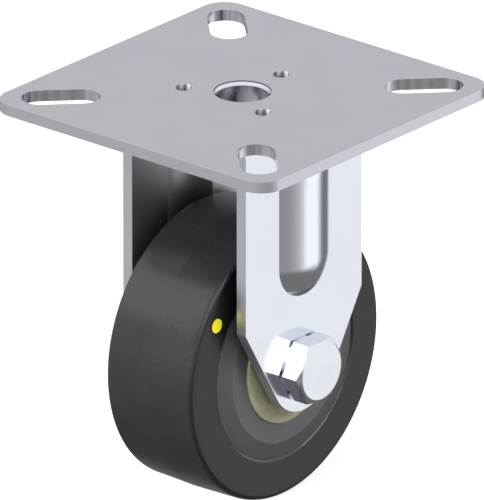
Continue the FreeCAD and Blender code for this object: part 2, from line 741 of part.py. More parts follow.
def make_wheel_core():
    """Moulded core: keyed rim, conical face, flat hub with bearing and cover seats."""
    body = new_body("wheel_core", drop=dim.axle_drop)
    step, seat = dim.step_dia / 2, dim.bearing_outer / 2
    bore = seat - dim.seat_shoulder
    half_side = (
        (bearing_back, bore), (bearing_back, seat), (cover_face, seat),
        (cover_face, cover_radius), (hub_face, cover_radius), (hub_face, step),
        (lip_face, lip_radius), (dim.key_foot / 2, lip_radius), (dim.key_top / 2, key_radius))
    other_side = tuple((-x, y) for x, y in reversed(half_side))
    profile = sketch_in(body, "outline", "XY_Plane")
    contour(profile, half_side + other_side)
    turn_about(body, "turned", profile)
    round_circles(body, "step", dim.step_round, dim.step_dia)
    return body


def make_tyre():
    """Elastic tyre keyed to the core, with the mark's pocket in its front face."""
    body = new_body("tyre", drop=dim.axle_drop)
    half, top = dim.tyre_width / 2, dim.wheel_dia / 2
    edge, slope = dim.tyre_edge, dim.tread_slope
    centre_x = half - edge
    centre_y = top - centre_x * tangent(slope) - edge / cosine(slope)
    touch = (centre_x + edge * sine(slope), centre_y + edge * cosine(slope))
    inner = dim.tyre_inner / 2
    profile = sketch_in(body, "outline", "XY_Plane")
    contour(profile, (
        (0, top), touch, (half, centre_y, (centre_x, centre_y), RIGHT),
        (half, inner), (lip_face, lip_radius), (dim.key_foot / 2, lip_radius),
        (dim.key_top / 2, key_radius), (-dim.key_top / 2, key_radius),
        (-dim.key_foot / 2, lip_radius),
        (-lip_face, lip_radius), (-half, inner), (-half, centre_y),
        (-touch[0], touch[1], (-centre_x, centre_y), RIGHT)))
    turn_about(body, "turned", profile)
    pocket = sketch_in(body, "mark_outline", "YZ_Plane", lift=mark_floor)
    circle(pocket, mark_y, mark_z, mark_dia)
    cut_outwards(body, "mark_pocket", pocket, dim.mark_depth + dim.run_out)
    return body


def make_conductive_mark():
    """Round coloured plug in the tyre's front face, dished inside its rim."""
    body = new_body("conductive_mark", drop=dim.axle_drop)
    plug = sketch_in(body, "outline", "YZ_Plane", lift=mark_floor)
    circle(plug, mark_y, mark_z, mark_dia)
    pad(body, "plug", plug, dim.mark_depth + dim.mark_proud)
    dish = sketch_in(body, "dish_outline", "YZ_Plane", lift=dim.tyre_width / 2)
    circle(dish, mark_y, mark_z, mark_dia - dim.mark_rim * 2)
    cut_outwards(body, "dish", dish, dim.mark_proud + dim.run_out)
    return body


def make_hub_cover(side, sign):
    """Beige disc over the bearing, turning round the bush's flange."""
    body = new_body("hub_cover_" + side, drop=dim.axle_drop, turned=sign < 0)
    outer, inner = cover_radius, flange_radius + dim.cover_gap
    outside, edge = cover_face + dim.cover_thick, dim.cover_round
    profile = sketch_in(body, "outline", "XY_Plane")
    contour(profile, (
        (cover_face, inner), (outside, inner), (outside, outer - edge),
        (outside - edge, outer, (outside - edge, outer - edge), LEFT), (cover_face, outer)))
    turn_about(body, "turned", profile)
    return body


def make_castor():
    """Build every piece and return them in the order they are listed."""
    pieces = [make_top_plate(), make_fork(), make_axle_bolt(), make_lock_nut(),
              make_lock_nut_ring(), make_spacer_sleeve(), make_wheel_core(), make_tyre(),
              make_conductive_mark()]
    for side, sign in SIDES:
        pieces += [make_bush(side, sign), make_inner_ring(side, sign),
                   make_outer_ring(side, sign), make_shield(side, sign, "outer", sign),
                   make_shield(side, sign, "inner", -sign), make_hub_cover(side, sign),
                   make_cage(side, sign)]
        pieces += make_balls(side, sign)
    return pieces


def check_and_write(pieces):
    """Recompute, see that nothing failed, and write each piece to its own file."""
    doc.recompute()
    failed = [item.Name for item in doc.Objects
              if any(word in item.State for word in ("Invalid", "Error"))]
    if failed:
        raise RuntimeError("failed objects: " + ", ".join(failed))
    for piece in pieces:
        shape = piece.Shape
        if shape.isNull() or not shape.isValid() or len(shape.Solids) != 1:
            raise RuntimeError("%s is not one valid solid" % piece.Label)
    os.makedirs("parts", exist_ok=True)
    for piece in pieces:
        piece.Shape.exportStep(os.path.join("parts", piece.Label + ".step"))
        print("%-22s %10.2f mm3" % (piece.Label, piece.Shape.Volume))


check_and_write(make_castor())
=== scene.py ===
"""Fixed castor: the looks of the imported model, with its studio and camera.

Metres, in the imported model's own frame: +Z up, X along the axle, Y along the rolling direction,
the origin at the centre of the top plate's upper face. "Front" is the +X side, where the bolt's
head is, and "rear" is the -X side, where the nut is.
"""
import logging
import math
from dataclasses import dataclass, field
from enum import Enum
from typing import Dict, List, Mapping, Optional, Sequence, Tuple, Union

import bmesh
import bpy
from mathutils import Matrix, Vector


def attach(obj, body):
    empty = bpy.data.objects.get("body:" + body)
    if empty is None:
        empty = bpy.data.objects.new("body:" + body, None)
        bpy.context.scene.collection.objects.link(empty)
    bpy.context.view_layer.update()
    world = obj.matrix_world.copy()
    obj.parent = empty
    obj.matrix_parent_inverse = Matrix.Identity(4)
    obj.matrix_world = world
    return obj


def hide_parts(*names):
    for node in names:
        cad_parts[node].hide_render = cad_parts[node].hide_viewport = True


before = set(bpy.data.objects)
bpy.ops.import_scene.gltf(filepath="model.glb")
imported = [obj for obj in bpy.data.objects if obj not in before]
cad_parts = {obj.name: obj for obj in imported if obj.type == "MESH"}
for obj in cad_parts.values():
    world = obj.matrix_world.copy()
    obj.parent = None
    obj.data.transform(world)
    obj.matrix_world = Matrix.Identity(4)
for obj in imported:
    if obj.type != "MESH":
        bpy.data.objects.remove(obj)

LOG = logging.getLogger("castor")

MM = 0.001
FULL_TURN = 2.0 * math.pi
AXLE = Vector((0.0, 0.0, -74.3 * MM))
# In metres: points nearer than this are one, in a mesh made here and in a copied CAD node
WELD = 1e-7
CAD_WELD = 2e-6

Colour = Tuple[float, float, float]
Point = Tuple[float, float]
Band = Sequence[Tuple[float, float]]
Key = Union[str, int]


class Side(Enum):
    """The two ends of the axle, with the sign of their X."""

    FRONT = 1
    REAR = -1

    @property
    def word(self) -> str:
        """The side's name as it stands in node names."""
        return self.name.lower()


class Body(Enum):
    """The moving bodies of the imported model."""

    FRAME = "frame"
    WHEEL = "wheel"
    CAGE_FRONT = "cage_front"
    CAGE_REAR = "cage_rear"

    @staticmethod
    def cage(side: Side) -> "Body":
        """The cage's body on a side."""
        return Body.CAGE_FRONT if side is Side.FRONT else Body.CAGE_REAR


class Slot(Enum):
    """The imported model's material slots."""

    ZINC = "zinc_steel"
    BEARING = "bearing_steel"
    TYRE = "tyre_rubber"
    CORE = "core_plastic"
    COVER = "cover_beige"


class Finish(Enum):
    """How a round surface was worked, which sets the spacing of the lines round its axis."""

    MOULDED = 900.0
    TURNED = 2600.0
    GROUND = 6500.0


# Node trees written as Python


class Signal:
    """One output socket of a node tree; sums on it add Math or Vector Math nodes."""

    def __init__(self, sheet: "Sheet", socket: bpy.types.NodeSocket) -> None:
        """Wrap an output socket of a sheet's tree."""
        self.sheet = sheet
        self.socket = socket

    @property
    def is_vector(self) -> bool:
        """Whether the socket carries a vector or a colour."""
        return self.socket.type in {"VECTOR", "RGBA"}

    def join(self, operation: str, other: "Value", swapped: bool = False) -> "Signal":
        """Join this signal with another value in one node.

        Args:
            operation: The Math node's operation.
            other: A number, a triple or another signal.
            swapped: Whether the other value comes first.

        Returns:
            The node's result.
        """
        first, second = (other, self) if swapped else (self, other)
        vectors = [isinstance(item, tuple) or (isinstance(item, Signal) and item.is_vector)
                   for item in (first, second)]
        if not any(vectors):
            return self.sheet.math(operation, first, second)
        if all(vectors):
            return self.sheet.vector_math(operation, first, second)
        vector, number = (first, second) if vectors[0] else (second, first)
        return self.sheet.scaled(vector, number)

    def __add__(self, other: "Value") -> "Signal":
        """This plus another value."""
        return self.join("ADD", other)

    def __radd__(self, other: "Value") -> "Signal":
        """Another value plus this."""
        return self.join("ADD", other, swapped=True)

    def __sub__(self, other: "Value") -> "Signal":
        """This minus another value."""
        return self.join("SUBTRACT", other)

    def __rsub__(self, other: "Value") -> "Signal":
        """Another value minus this."""
        return self.join("SUBTRACT", other, swapped=True)

    def __mul__(self, other: "Value") -> "Signal":
        """This times another value."""
        return self.join("MULTIPLY", other)

    def __rmul__(self, other: "Value") -> "Signal":
        """Another value times this."""
        return self.join("MULTIPLY", other, swapped=True)

    def __truediv__(self, other: "Value") -> "Signal":
        """This over another value."""
        return self.join("DIVIDE", other)

    def __rtruediv__(self, other: "Value") -> "Signal":
        """Another value over this."""
        return self.join("DIVIDE", other, swapped=True)

    def __pow__(self, other: "Value") -> "Signal":
        """This to the power of another value."""
        return self.join("POWER", other)

    def __neg__(self) -> "Signal":
        """This with its sign changed."""
        return self.join("MULTIPLY", -1.0)


Value = Union[Signal, float, int, Tuple[float, ...]]


class Sheet:
    """A node tree: nodes come from one method, and sums from the signals' operators."""

    def __init__(self, tree: bpy.types.NodeTree) -> None:
        """Start on a shader or geometry tree, emptied first."""
        self.tree = tree
        tree.nodes.clear()

    def node(self, kind: str, settings: Optional[Mapping[str, object]] = None,
             inputs: Optional[Mapping[Key, object]] = None) -> bpy.types.Node:
        """Add a node, set it up, and fill or link its inputs.

        Args:
            kind: The node's type.
            settings: Its properties, set first; "stops" is a ramp's list of (place, level).
            inputs: A value or signal for each input, by name or index.

        Returns:
            The node.
        """
        made = self.tree.nodes.new(kind)
        for name, value in (settings or {}).items():
            if name == "stops":
                self._set_stops(made.color_ramp, value)
            else:
                setattr(made, name, value)
        for key, value in (inputs or {}).items():
            self.feed(self._input(made, key), value)
        return made

    def _set_stops(self, ramp: bpy.types.ColorRamp, stops: Band) -> None:
        """Give a ramp its stops.

        Args:
            ramp: The ramp.
            stops: Pairs of a place from 0 to 1 and a grey level.
        """
        while len(ramp.elements) > 1:
            ramp.elements.remove(ramp.elements[-1])
        for index, (place, level) in enumerate(stops):
            stop = ramp.elements[0] if index == 0 else ramp.elements.new(place)
            stop.position = place
            stop.color = (level, level, level, 1.0)

    def _input(self, made: bpy.types.Node, key: Key) -> bpy.types.NodeSocket:
        """Find a node's input.

        Args:
            made: The node.
            key: The input's index, or its name among those in use.

        Returns:
            The input socket.
        """
        if isinstance(key, int):
            return made.inputs[key]
        return next(item for item in made.inputs if item.name == key and item.enabled)

    def feed(self, socket: bpy.types.NodeSocket, value: object) -> None:
        """Link a signal to an input, or set the input's own value.

        Args:
            socket: The input socket.
            value: A signal, or a plain value.
        """
        if isinstance(value, Signal):
            self.tree.links.new(value.socket, socket)
            return
        if isinstance(value, tuple) and socket.type == "RGBA" and len(value) == 3:
            value = (*value, 1.0)
        socket.default_value = value

    def take(self, made: bpy.types.Node, key: Key = 0) -> Signal:
        """Pick one of a node's outputs.

        Args:
            made: The node.
            key: The output's index, or its name among those in use.

        Returns:
            The output as a signal.
        """
        if isinstance(key, int):
            return Signal(self, made.outputs[key])
        return Signal(self, next(o for o in made.outputs if o.name == key and o.enabled))

    def math(self, operation: str, *values: Value) -> Signal:
        """A Math node on numbers."""
        made = self.node("ShaderNodeMath", {"operation": operation}, dict(enumerate(values)))
        return self.take(made)

    def vector_math(self, operation: str, *values: Value) -> Signal:
        """A Vector Math node that gives a vector."""
        made = self.node("ShaderNodeVectorMath", {"operation": operation}, dict(enumerate(values)))
        return self.take(made, "Vector")

    def scaled(self, vector: Value, number: Value) -> Signal:
        """A vector times a number.

        Args:
            vector: The vector.
            number: The number.

        Returns:
            The longer or shorter vector.
        """
        made = self.node(
            "ShaderNodeVectorMath", {"operation": "SCALE"}, {0: vector, "Scale": number})
        return self.take(made, "Vector")

    def split(self, vector: Signal) -> Tuple[Signal, Signal, Signal]:
        """A vector's three numbers."""
        made = self.node("ShaderNodeSeparateXYZ", None, {0: vector})
        return self.take(made, 0), self.take(made, 1), self.take(made, 2)

    def triple(self, x: Value, y: Value, z: Value) -> Signal:
        """A vector from three numbers."""
        return self.take(self.node("ShaderNodeCombineXYZ", None, {0: x, 1: y, 2: z}))

    def span(self, value: Value, low: float, high: float, start: float = 0.0,
             end: float = 1.0) -> Signal:
        """Carry a value smoothly from one range to another, held at both ends.

        Args:
            value: The value.
            low: Where it starts to count.
            high: Where it stops counting.
            start: The result at low.
            end: The result at high.

        Returns:
            The result.
        """
        return self.take(self.node(
            "ShaderNodeMapRange", {"interpolation_type": "SMOOTHSTEP"},
            {"Value": value, "From Min": low, "From Max": high, "To Min": start, "To Max": end}))


class ShaderSheet(Sheet):
    """A material's tree, with the patterns that the castor's finishes share."""

    def __init__(self, name: str) -> None:
        """Start a material.

        Args:
            name: The material's name.
        """
        self.material = bpy.data.materials.new(name)
        self.material.use_nodes = True
        super().__init__(self.material.node_tree)

    def place(self, centre: Vector = Vector((0.0, 0.0, 0.0))) -> Signal:
        """The surface point in the object's own coordinates.

        Args:
            centre: The point that it is counted from.

        Returns:
            The point.
        """
        point = self.take(self.node("ShaderNodeTexCoord"), "Object")
        moved = self.node("ShaderNodeMapping", {"vector_type": "POINT"},
                          {"Vector": point, "Location": tuple(-item for item in centre)})
        return self.take(moved)

    def round_place(self) -> Signal:
        """The surface point as (along the axle, from the axle, 0), the same all round it."""
        x, y, z = self.split(self.place(AXLE))
        return self.triple(x, (y * y + z * z) ** 0.5, 0.0)

    def attribute(self, name: str) -> Signal:
        """A number that the mesh stores."""
        stored = self.node("ShaderNodeAttribute", {"attribute_name": name})
        return self.take(stored, "Fac")

    def noise(self, point: Value, scale: float, detail: float = 2.0,
              roughness: float = 0.5) -> Signal:
        """Noise between 0 and 1, even about 0.5.

        Args:
            point: Where it is read.
            scale: Waves for each metre.
            detail: Octaves of finer noise.
            roughness: How strong each finer octave is.

        Returns:
            The noise.
        """
        made = self.node(
            "ShaderNodeTexNoise", {"noise_dimensions": "3D"},
            {"Vector": point, "Scale": scale, "Detail": detail, "Roughness": roughness})
        return self.take(made, 0)

    def blend(self, factor: Value, first: Union[Signal, Colour],
              second: Union[Signal, Colour]) -> Signal:
        """A colour between two: a factor of 0 gives the first, 1 the second."""
        made = self.node("ShaderNodeMix", {"data_type": "RGBA"}, {0: factor, 6: first, 7: second})
        return self.take(made, 2)

    def relief(self, height: Value, depth: float, below: Optional[Signal] = None) -> Signal:
        """The normal of a surface with this height pattern.

        Args:
            height: The height, from 0 to 1.
            depth: What 1 stands for, in metres.
            below: The normal of a coarser relief that this one lies on.

        Returns:
            The normal.
        """
        inputs: Dict[Key, object] = {"Strength": 1.0, "Distance": depth, "Height": height}
        if below is not None:
            inputs["Normal"] = below
        return self.take(self.node("ShaderNodeBump", None, inputs))

    def lines_round(self, finish: Finish, detail: float = 3.0) -> Signal:
        """Fine uneven lines that run round the axle, as a lathe or a turned mould leaves."""
        return self.noise(self.round_place(), finish.value, detail, 0.6)

    def surface(self, inputs: Mapping[Key, object]) -> bpy.types.Material:
        """Close the tree with one Principled shader.

        Args:
            inputs: The shader's inputs.

        Returns:
            The material.
        """
        shader = self.node("ShaderNodeBsdfPrincipled", None, inputs)
        self.node("ShaderNodeOutputMaterial", None, {"Surface": self.take(shader)})
        return self.material


# Finishes


@dataclass(frozen=True)
class ZincOnSheet:
    """Bright blue-white zinc plating on rolled and punched steel sheet.

    The mesh says how dull shearing left a face ("cut_edge"), which faces of a leg's bead get a
    painted highlight in a brighter, bluer plating colour ("drawn"), which faces on the inside of
    the bent sheet get painted shade in a darker, rougher plating ("inside"), which faces are walls
    of slots ("slotted") or of small holes ("pierced"), and how bright the painted reflection band
    on each small hole's wall is ("stripe").
    """

    name: str
    pale: Colour = (0.80, 0.83, 0.90)
    dull: Colour = (0.775, 0.805, 0.875)
    sheared: Colour = (0.74, 0.745, 0.81)
    # Painted highlight: a brighter, bluer plating colour on the outside of a leg's bead
    bead_highlight_colour: Colour = (0.90, 0.93, 1.0)
    # Painted shade: a darker plating colour on the inside of the bent sheet
    inside_shade: Colour = (0.47, 0.48, 0.50)
    # Bright and dark of the scores in the slots' walls and of the painted reflection bands in the
    # small holes; the dark one also paints the shade line at the bore's rim
    burnish_and_painted_glint: Colour = (1.0, 1.0, 1.0)
    tear_and_painted_shade: Colour = (0.07, 0.07, 0.08)
    # Radii of a thin dark line painted round the bore's rim: shade at the edge of its chamfer
    rim_line: Tuple[float, float] = (7.68, 7.94)
    rim_fade: float = 0.06
    gloss: float = 0.14
    sheared_gloss: float = 0.42
    # Roughness on the inside of the bent sheet, which dims its reflections beside the painted shade
    inside_shade_gloss: float = 0.40
    slot_scores: float = 0.45
    pierced_loss: float = 0.3
    rolled_share: float = 0.25
    line_depth: float = 0.000004
    grain_depth: float = 0.0000012

    def material(self) -> bpy.types.Material:
        """Clouded plating, rolling lines along X, and streaks across the punched edges.

        Returns:
            The material.
        """
        sheet = ShaderSheet(self.name)
        point = sheet.place()
        cut, drawn, inside = (sheet.attribute(name) for name in ("cut_edge", "drawn", "inside"))
        slotted, pierced, stripe = (
            sheet.attribute(name) for name in ("slotted", "pierced", "stripe"))
        clouds = sheet.noise(point, scale=55.0, detail=4.0, roughness=0.55)
        rolled = sheet.noise(
            point * (60.0, 2600.0, 2600.0), scale=1.0, detail=3.0, roughness=0.6)
        streaks = sheet.noise(
            point * (1500.0, 1500.0, 160.0), scale=1.0, detail=3.0, roughness=0.6)
        scores = sheet.span(
            sheet.noise(point * (620.0, 620.0, 40.0), scale=1.0, detail=1.0), 0.38, 0.62)
        grain = sheet.noise(point, scale=5200.0)
        plated = sheet.blend(sheet.span(clouds, 0.3, 0.7), self.pale, self.dull)
        # Painted highlight on the outside of a leg's bead
        plated = sheet.blend(drawn, plated, self.bead_highlight_colour)
        # Painted shade on the inside of the bent sheet
        plated = sheet.blend(inside, plated, self.inside_shade)
        edge = sheet.blend(streaks, self.sheared, self.dull)
        scored = sheet.blend(scores, self.tear_and_painted_shade, self.burnish_and_painted_glint)
        edge = sheet.blend(slotted * self.slot_scores, edge, scored)
        # Painted reflection: bright and dark bands on the small holes' walls, set by each face's
        # direction
        edge = sheet.blend(pierced, edge, sheet.blend(stripe, self.tear_and_painted_shade, self.burnish_and_painted_glint))
        x, y, _ = sheet.split(point)
        reach = (x * x + y * y) ** 0.5
        low, high = self.rim_line[0] * MM, self.rim_line[1] * MM
        fade = self.rim_fade * MM
        # Painted shade: a thin dark line round the bore's rim
        rim_shade_line = sheet.span(reach, low, low + fade) - sheet.span(reach, high - fade, high)
        surface = sheet.blend(rim_shade_line, sheet.blend(cut, plated, edge), self.tear_and_painted_shade)
        level = (clouds - 0.5) * 0.03 + (rolled - 0.5) * 0.04
        dulled = cut * (self.sheared_gloss - self.gloss) + inside * (self.inside_shade_gloss - self.gloss)
        fine = sheet.relief(grain, self.grain_depth)
        height = rolled * (1.0 - cut) * self.rolled_share + streaks * cut
        return sheet.surface({
            "Base Color": surface,
            "Metallic": 1.0 - pierced * self.pierced_loss,
            "Roughness": level + dulled + self.gloss,
            "Normal": sheet.relief(height, self.line_depth, fine),
        })


@dataclass(frozen=True)
class ZincOnBolt:
    """The same plating on a cold-headed bolt or nut."""

    name: str = "bright_zinc_on_bolt"
    pale: Colour = (0.80, 0.825, 0.89)
    dull: Colour = (0.775, 0.80, 0.865)
    gloss: float = 0.12
    depth: float = 0.000002

    def material(self) -> bpy.types.Material:
        """Plating over the dies' fine lines round the axis.

        Returns:
            The material.
        """
        sheet = ShaderSheet(self.name)
        point = sheet.place(AXLE)
        clouds = sheet.noise(point, scale=190.0, detail=3.0, roughness=0.55)
        lines = sheet.lines_round(Finish.TURNED)
        dents = sheet.noise(point, scale=700.0)
        return sheet.surface({
            "Base Color": sheet.blend(sheet.span(clouds, 0.3, 0.7), self.pale, self.dull),
            "Metallic": 1.0,
            "Roughness": (clouds - 0.5) * 0.04 + (lines - 0.5) * 0.04 + self.gloss,
            "Normal": sheet.relief(lines, self.depth, sheet.relief(dents, self.depth)),
        })


@dataclass(frozen=True)
class WorkedSteel:
    """Bare steel with the lines of a lathe or a grinding wheel round the axle."""

    name: str
    finish: Finish
    pale: Colour
    dull: Colour
    gloss: float
    depth: float

    def material(self) -> bpy.types.Material:
        """Steel with lines round the axle and a faint stain.

        Returns:
            The material.
        """
        sheet = ShaderSheet(self.name)
        lines = sheet.lines_round(self.finish)
        stain = sheet.noise(sheet.place(AXLE), scale=240.0, detail=4.0, roughness=0.6)
        dulled = sheet.span(stain, 0.35, 0.75) * 0.6 + lines * 0.4
        return sheet.surface({
            "Base Color": sheet.blend(dulled, self.pale, self.dull),
            "Metallic": 1.0,
            "Roughness": (lines - 0.5) * 0.12 + (stain - 0.5) * 0.06 + self.gloss,
            "Normal": sheet.relief(lines, self.depth),
        })


@dataclass(frozen=True)
class TyreRubber:
    """Dark elastic tyre: fine skin, mould lines round the axle, a slight bloom, a glossy lip."""

    name: str = "dark_elastic_rubber"
    deep: Colour = (0.0076, 0.0076, 0.0086)
    bloom: Colour = (0.0107, 0.0107, 0.0117)
    gloss: float = 0.27
    shine: float = 0.36
    lines_depth: float = 0.000004
    skin_depth: float = 0.000003
    lip: Colour = (0.004, 0.004, 0.004)
    lip_gloss: float = 0.12
    lip_inner: float = 28.0
    lip_outer: float = 28.95
    inner_fade: float = 0.1
    outer_fade: float = 0.15

    def material(self) -> bpy.types.Material:
        """Rubber with a bloom in soft patches and a fine skin.

        Returns:
            The material.
        """
        sheet = ShaderSheet(self.name)
        point = sheet.place(AXLE)
        patches = sheet.noise(point, scale=75.0, detail=4.0, roughness=0.6)
        lines = sheet.lines_round(Finish.MOULDED, 4.0)
        skin = sheet.noise(point, scale=3400.0, detail=3.0, roughness=0.55)
        factor = sheet.span(patches, 0.3, 0.75) * 0.7 + lines * 0.3
        skin_colour = sheet.blend(factor, self.deep, self.bloom)
        reach = sheet.split(sheet.round_place())[1]
        inner, outer = self.lip_inner * MM, self.lip_outer * MM
        lip = (sheet.span(reach, inner, inner + self.inner_fade * MM)
               - sheet.span(reach, outer - self.outer_fade * MM, outer))
        return sheet.surface({
            "Base Color": sheet.blend(lip, skin_colour, self.lip),
            "Coat Weight": lip,
            "Coat Roughness": self.lip_gloss,
            "Metallic": 0.0,
            "Specular IOR Level": self.shine,
            "Roughness": (patches - 0.5) * 0.08 + (skin - 0.5) * 0.08 + self.gloss,
            "Normal": sheet.relief(
                lines, self.lines_depth, sheet.relief(skin, self.skin_depth)),
        })


@dataclass(frozen=True)
class MouldedPlastic:
    """Moulded plastic with an eroded grain, in one of the castor's colours.

    Further from the axle than "cone_shade_from" the colour is multiplied by "cone_shade_share":
    a painted shade on the core's cone.
    """

    name: str
    deep: Colour
    pale: Colour
    gloss: float
    grain: float = 2400.0
    grain_depth: float = 0.000010
    mottle: float = 110.0
    lines_depth: float = 0.000010
    cone_shade_from: float = 100.0
    cone_shade_share: float = 1.0
    cone_shade_fade: float = 0.1

    def material(self) -> bpy.types.Material:
        """Plastic with a mottle, flow lines round the axle and a fine grain.

        Returns:
            The material.
        """
        sheet = ShaderSheet(self.name)
        point = sheet.place(AXLE)
        mottle = sheet.noise(point, self.mottle, detail=5.0, roughness=0.65)
        lines = sheet.lines_round(Finish.MOULDED, 4.0)
        grain = sheet.noise(point, self.grain)
        factor = sheet.span(mottle, 0.3, 0.7) * 0.8 + grain * 0.2
        colour = sheet.blend(factor, self.deep, self.pale)
        # Painted shade: the colour is darkened beyond a radius, on the core's cone
        reach = sheet.split(sheet.round_place())[1]
        start = self.cone_shade_from * MM
        cone_shade = sheet.span(reach, start, start + self.cone_shade_fade * MM)
        return sheet.surface({
            "Base Color": sheet.blend(cone_shade, colour, colour * self.cone_shade_share),
            "Metallic": 0.0,
            "Roughness": (grain - 0.5) * 0.16 + (mottle - 0.5) * 0.10 + self.gloss,
            "Normal": sheet.relief(
                lines, self.lines_depth, sheet.relief(grain, self.grain_depth)),
        })


@dataclass(frozen=True)
class Palette:
    """Every finish of the castor as a Blender material, made once."""

    plate: bpy.types.Material
    fork: bpy.types.Material
    bolt: bpy.types.Material
    turned: bpy.types.Material
    ground: bpy.types.Material
    rubber: bpy.types.Material
    core: bpy.types.Material
    cover: bpy.types.Material
    mark: bpy.types.Material
    nylon: bpy.types.Material
    cage: bpy.types.Material

    @classmethod
    def made(cls) -> "Palette":
        """Make the materials.

        Returns:
            The palette.
        """
        return cls(
            plate=ZincOnSheet(
                "bright_zinc_on_plate", pale=(0.772, 0.782, 0.84),
                dull=(0.748, 0.758, 0.816)).material(),
            fork=ZincOnSheet("bright_zinc_on_fork").material(),
            bolt=ZincOnBolt().material(),
            turned=WorkedSteel(
                "turned_steel_lines", Finish.TURNED, pale=(0.62, 0.62, 0.61),
                dull=(0.50, 0.50, 0.49), gloss=0.30, depth=0.000006).material(),
            ground=WorkedSteel(
                "ground_bearing_steel", Finish.GROUND, pale=(0.70, 0.70, 0.71),
                dull=(0.60, 0.60, 0.61), gloss=0.16, depth=0.000002).material(),
            rubber=TyreRubber().material(),
            # The core's cone gets painted shade: its colour times 0.77 beyond 23.2 mm from the axle
            core=MouldedPlastic(
                "grey_core_moulding", deep=(0.083, 0.085, 0.090), pale=(0.104, 0.106, 0.112),
                gloss=0.50, cone_shade_from=23.2, cone_shade_share=0.77).material(),
            cover=MouldedPlastic(
                "beige_cover_moulding", deep=(0.325, 0.298, 0.188), pale=(0.415, 0.386, 0.262),
                gloss=0.52, grain=1800.0, mottle=420.0).material(),
            mark=MouldedPlastic(
                "yellow_mark_rubber", deep=(0.98, 0.86, 0.010), pale=(1.0, 0.93, 0.014),
                gloss=0.45, grain=5200.0, grain_depth=0.000005, mottle=900.0).material(),
            nylon=MouldedPlastic(
                "white_nylon_ring", deep=(0.62, 0.63, 0.60), pale=(0.72, 0.73, 0.70),
                gloss=0.40, mottle=500.0).material(),
            cage=MouldedPlastic(
                "brown_cage_moulding", deep=(0.22, 0.15, 0.075), pale=(0.29, 0.21, 0.11),
                gloss=0.45, mottle=600.0).material(),
        )


# Geometry trees


class GeometrySheet(Sheet):
    """A Geometry Nodes tree with named inputs, run once to make a plain mesh."""

    def __init__(self, name: str) -> None:
        """Start a tree that takes and gives geometry.

        Args:
            name: The tree's name.
        """
        group = bpy.data.node_groups.new(name, "GeometryNodeTree")
        super().__init__(group)
        self.group = group
        self.values: Dict[str, object] = {}
        group.interface.new_socket("Geometry", in_out="INPUT", socket_type="NodeSocketGeometry")
        group.interface.new_socket("Geometry", in_out="OUTPUT", socket_type="NodeSocketGeometry")
        self.entry = group.nodes.new("NodeGroupInput")

    def named_input(self, name: str, value: Union[float, int, bpy.types.Material]) -> Signal:
        """Add a named input of the tree and the value that this object gives it.

        Args:
            name: The input's name.
            value: A length or angle, a count, or a material.

        Returns:
            The input as a signal.
        """
        kind = {int: "NodeSocketInt", float: "NodeSocketFloat"}.get(
            type(value), "NodeSocketMaterial")
        self.group.interface.new_socket(name, in_out="INPUT", socket_type=kind)
        self.values[name] = value
        return Signal(self, self.entry.outputs[name])

    @property
    def geometry(self) -> Signal:
        """The geometry of the object that the tree is run on."""
        return Signal(self, self.entry.outputs["Geometry"])

    def close(self, geometry: Signal, material: Signal) -> None:
        """End the tree in Realize Instances and Set Material.

        Args:
            geometry: What the tree has made.
            material: The material's input.
        """
        real = self.node("GeometryNodeRealizeInstances", None, {0: geometry})
        dressed = self.node("GeometryNodeSetMaterial", None,
                            {"Geometry": self.take(real), "Material": material})
        self.node("NodeGroupOutput", None, {0: self.take(dressed)})

    def run(self, name: str, host: bpy.types.Mesh) -> bpy.types.Object:
        """Run the tree on a host mesh and keep its result as a plain mesh object.

        Args:
            name: The piece's name.
            host: The mesh that the tree starts from.

        Returns:
            The piece.
        """
        worker = bpy.data.objects.new(name + "_host", host)
        bpy.context.scene.collection.objects.link(worker)
        modifier = worker.modifiers.new("tree", "NODES")
        modifier.node_group = self.group
        for item in self.group.interface.items_tree:
            if item.item_type == "SOCKET" and item.in_out == "INPUT" and item.name in self.values:
                modifier[item.identifier] = self.values[item.name]
        bpy.context.view_layer.update()
        graph = bpy.context.evaluated_depsgraph_get()
        mesh = bpy.data.meshes.new_from_object(worker.evaluated_get(graph))
        worker.modifiers.clear()
        bpy.data.objects.remove(worker)
        mesh.name = name
        return Mesh.shown(name, mesh)


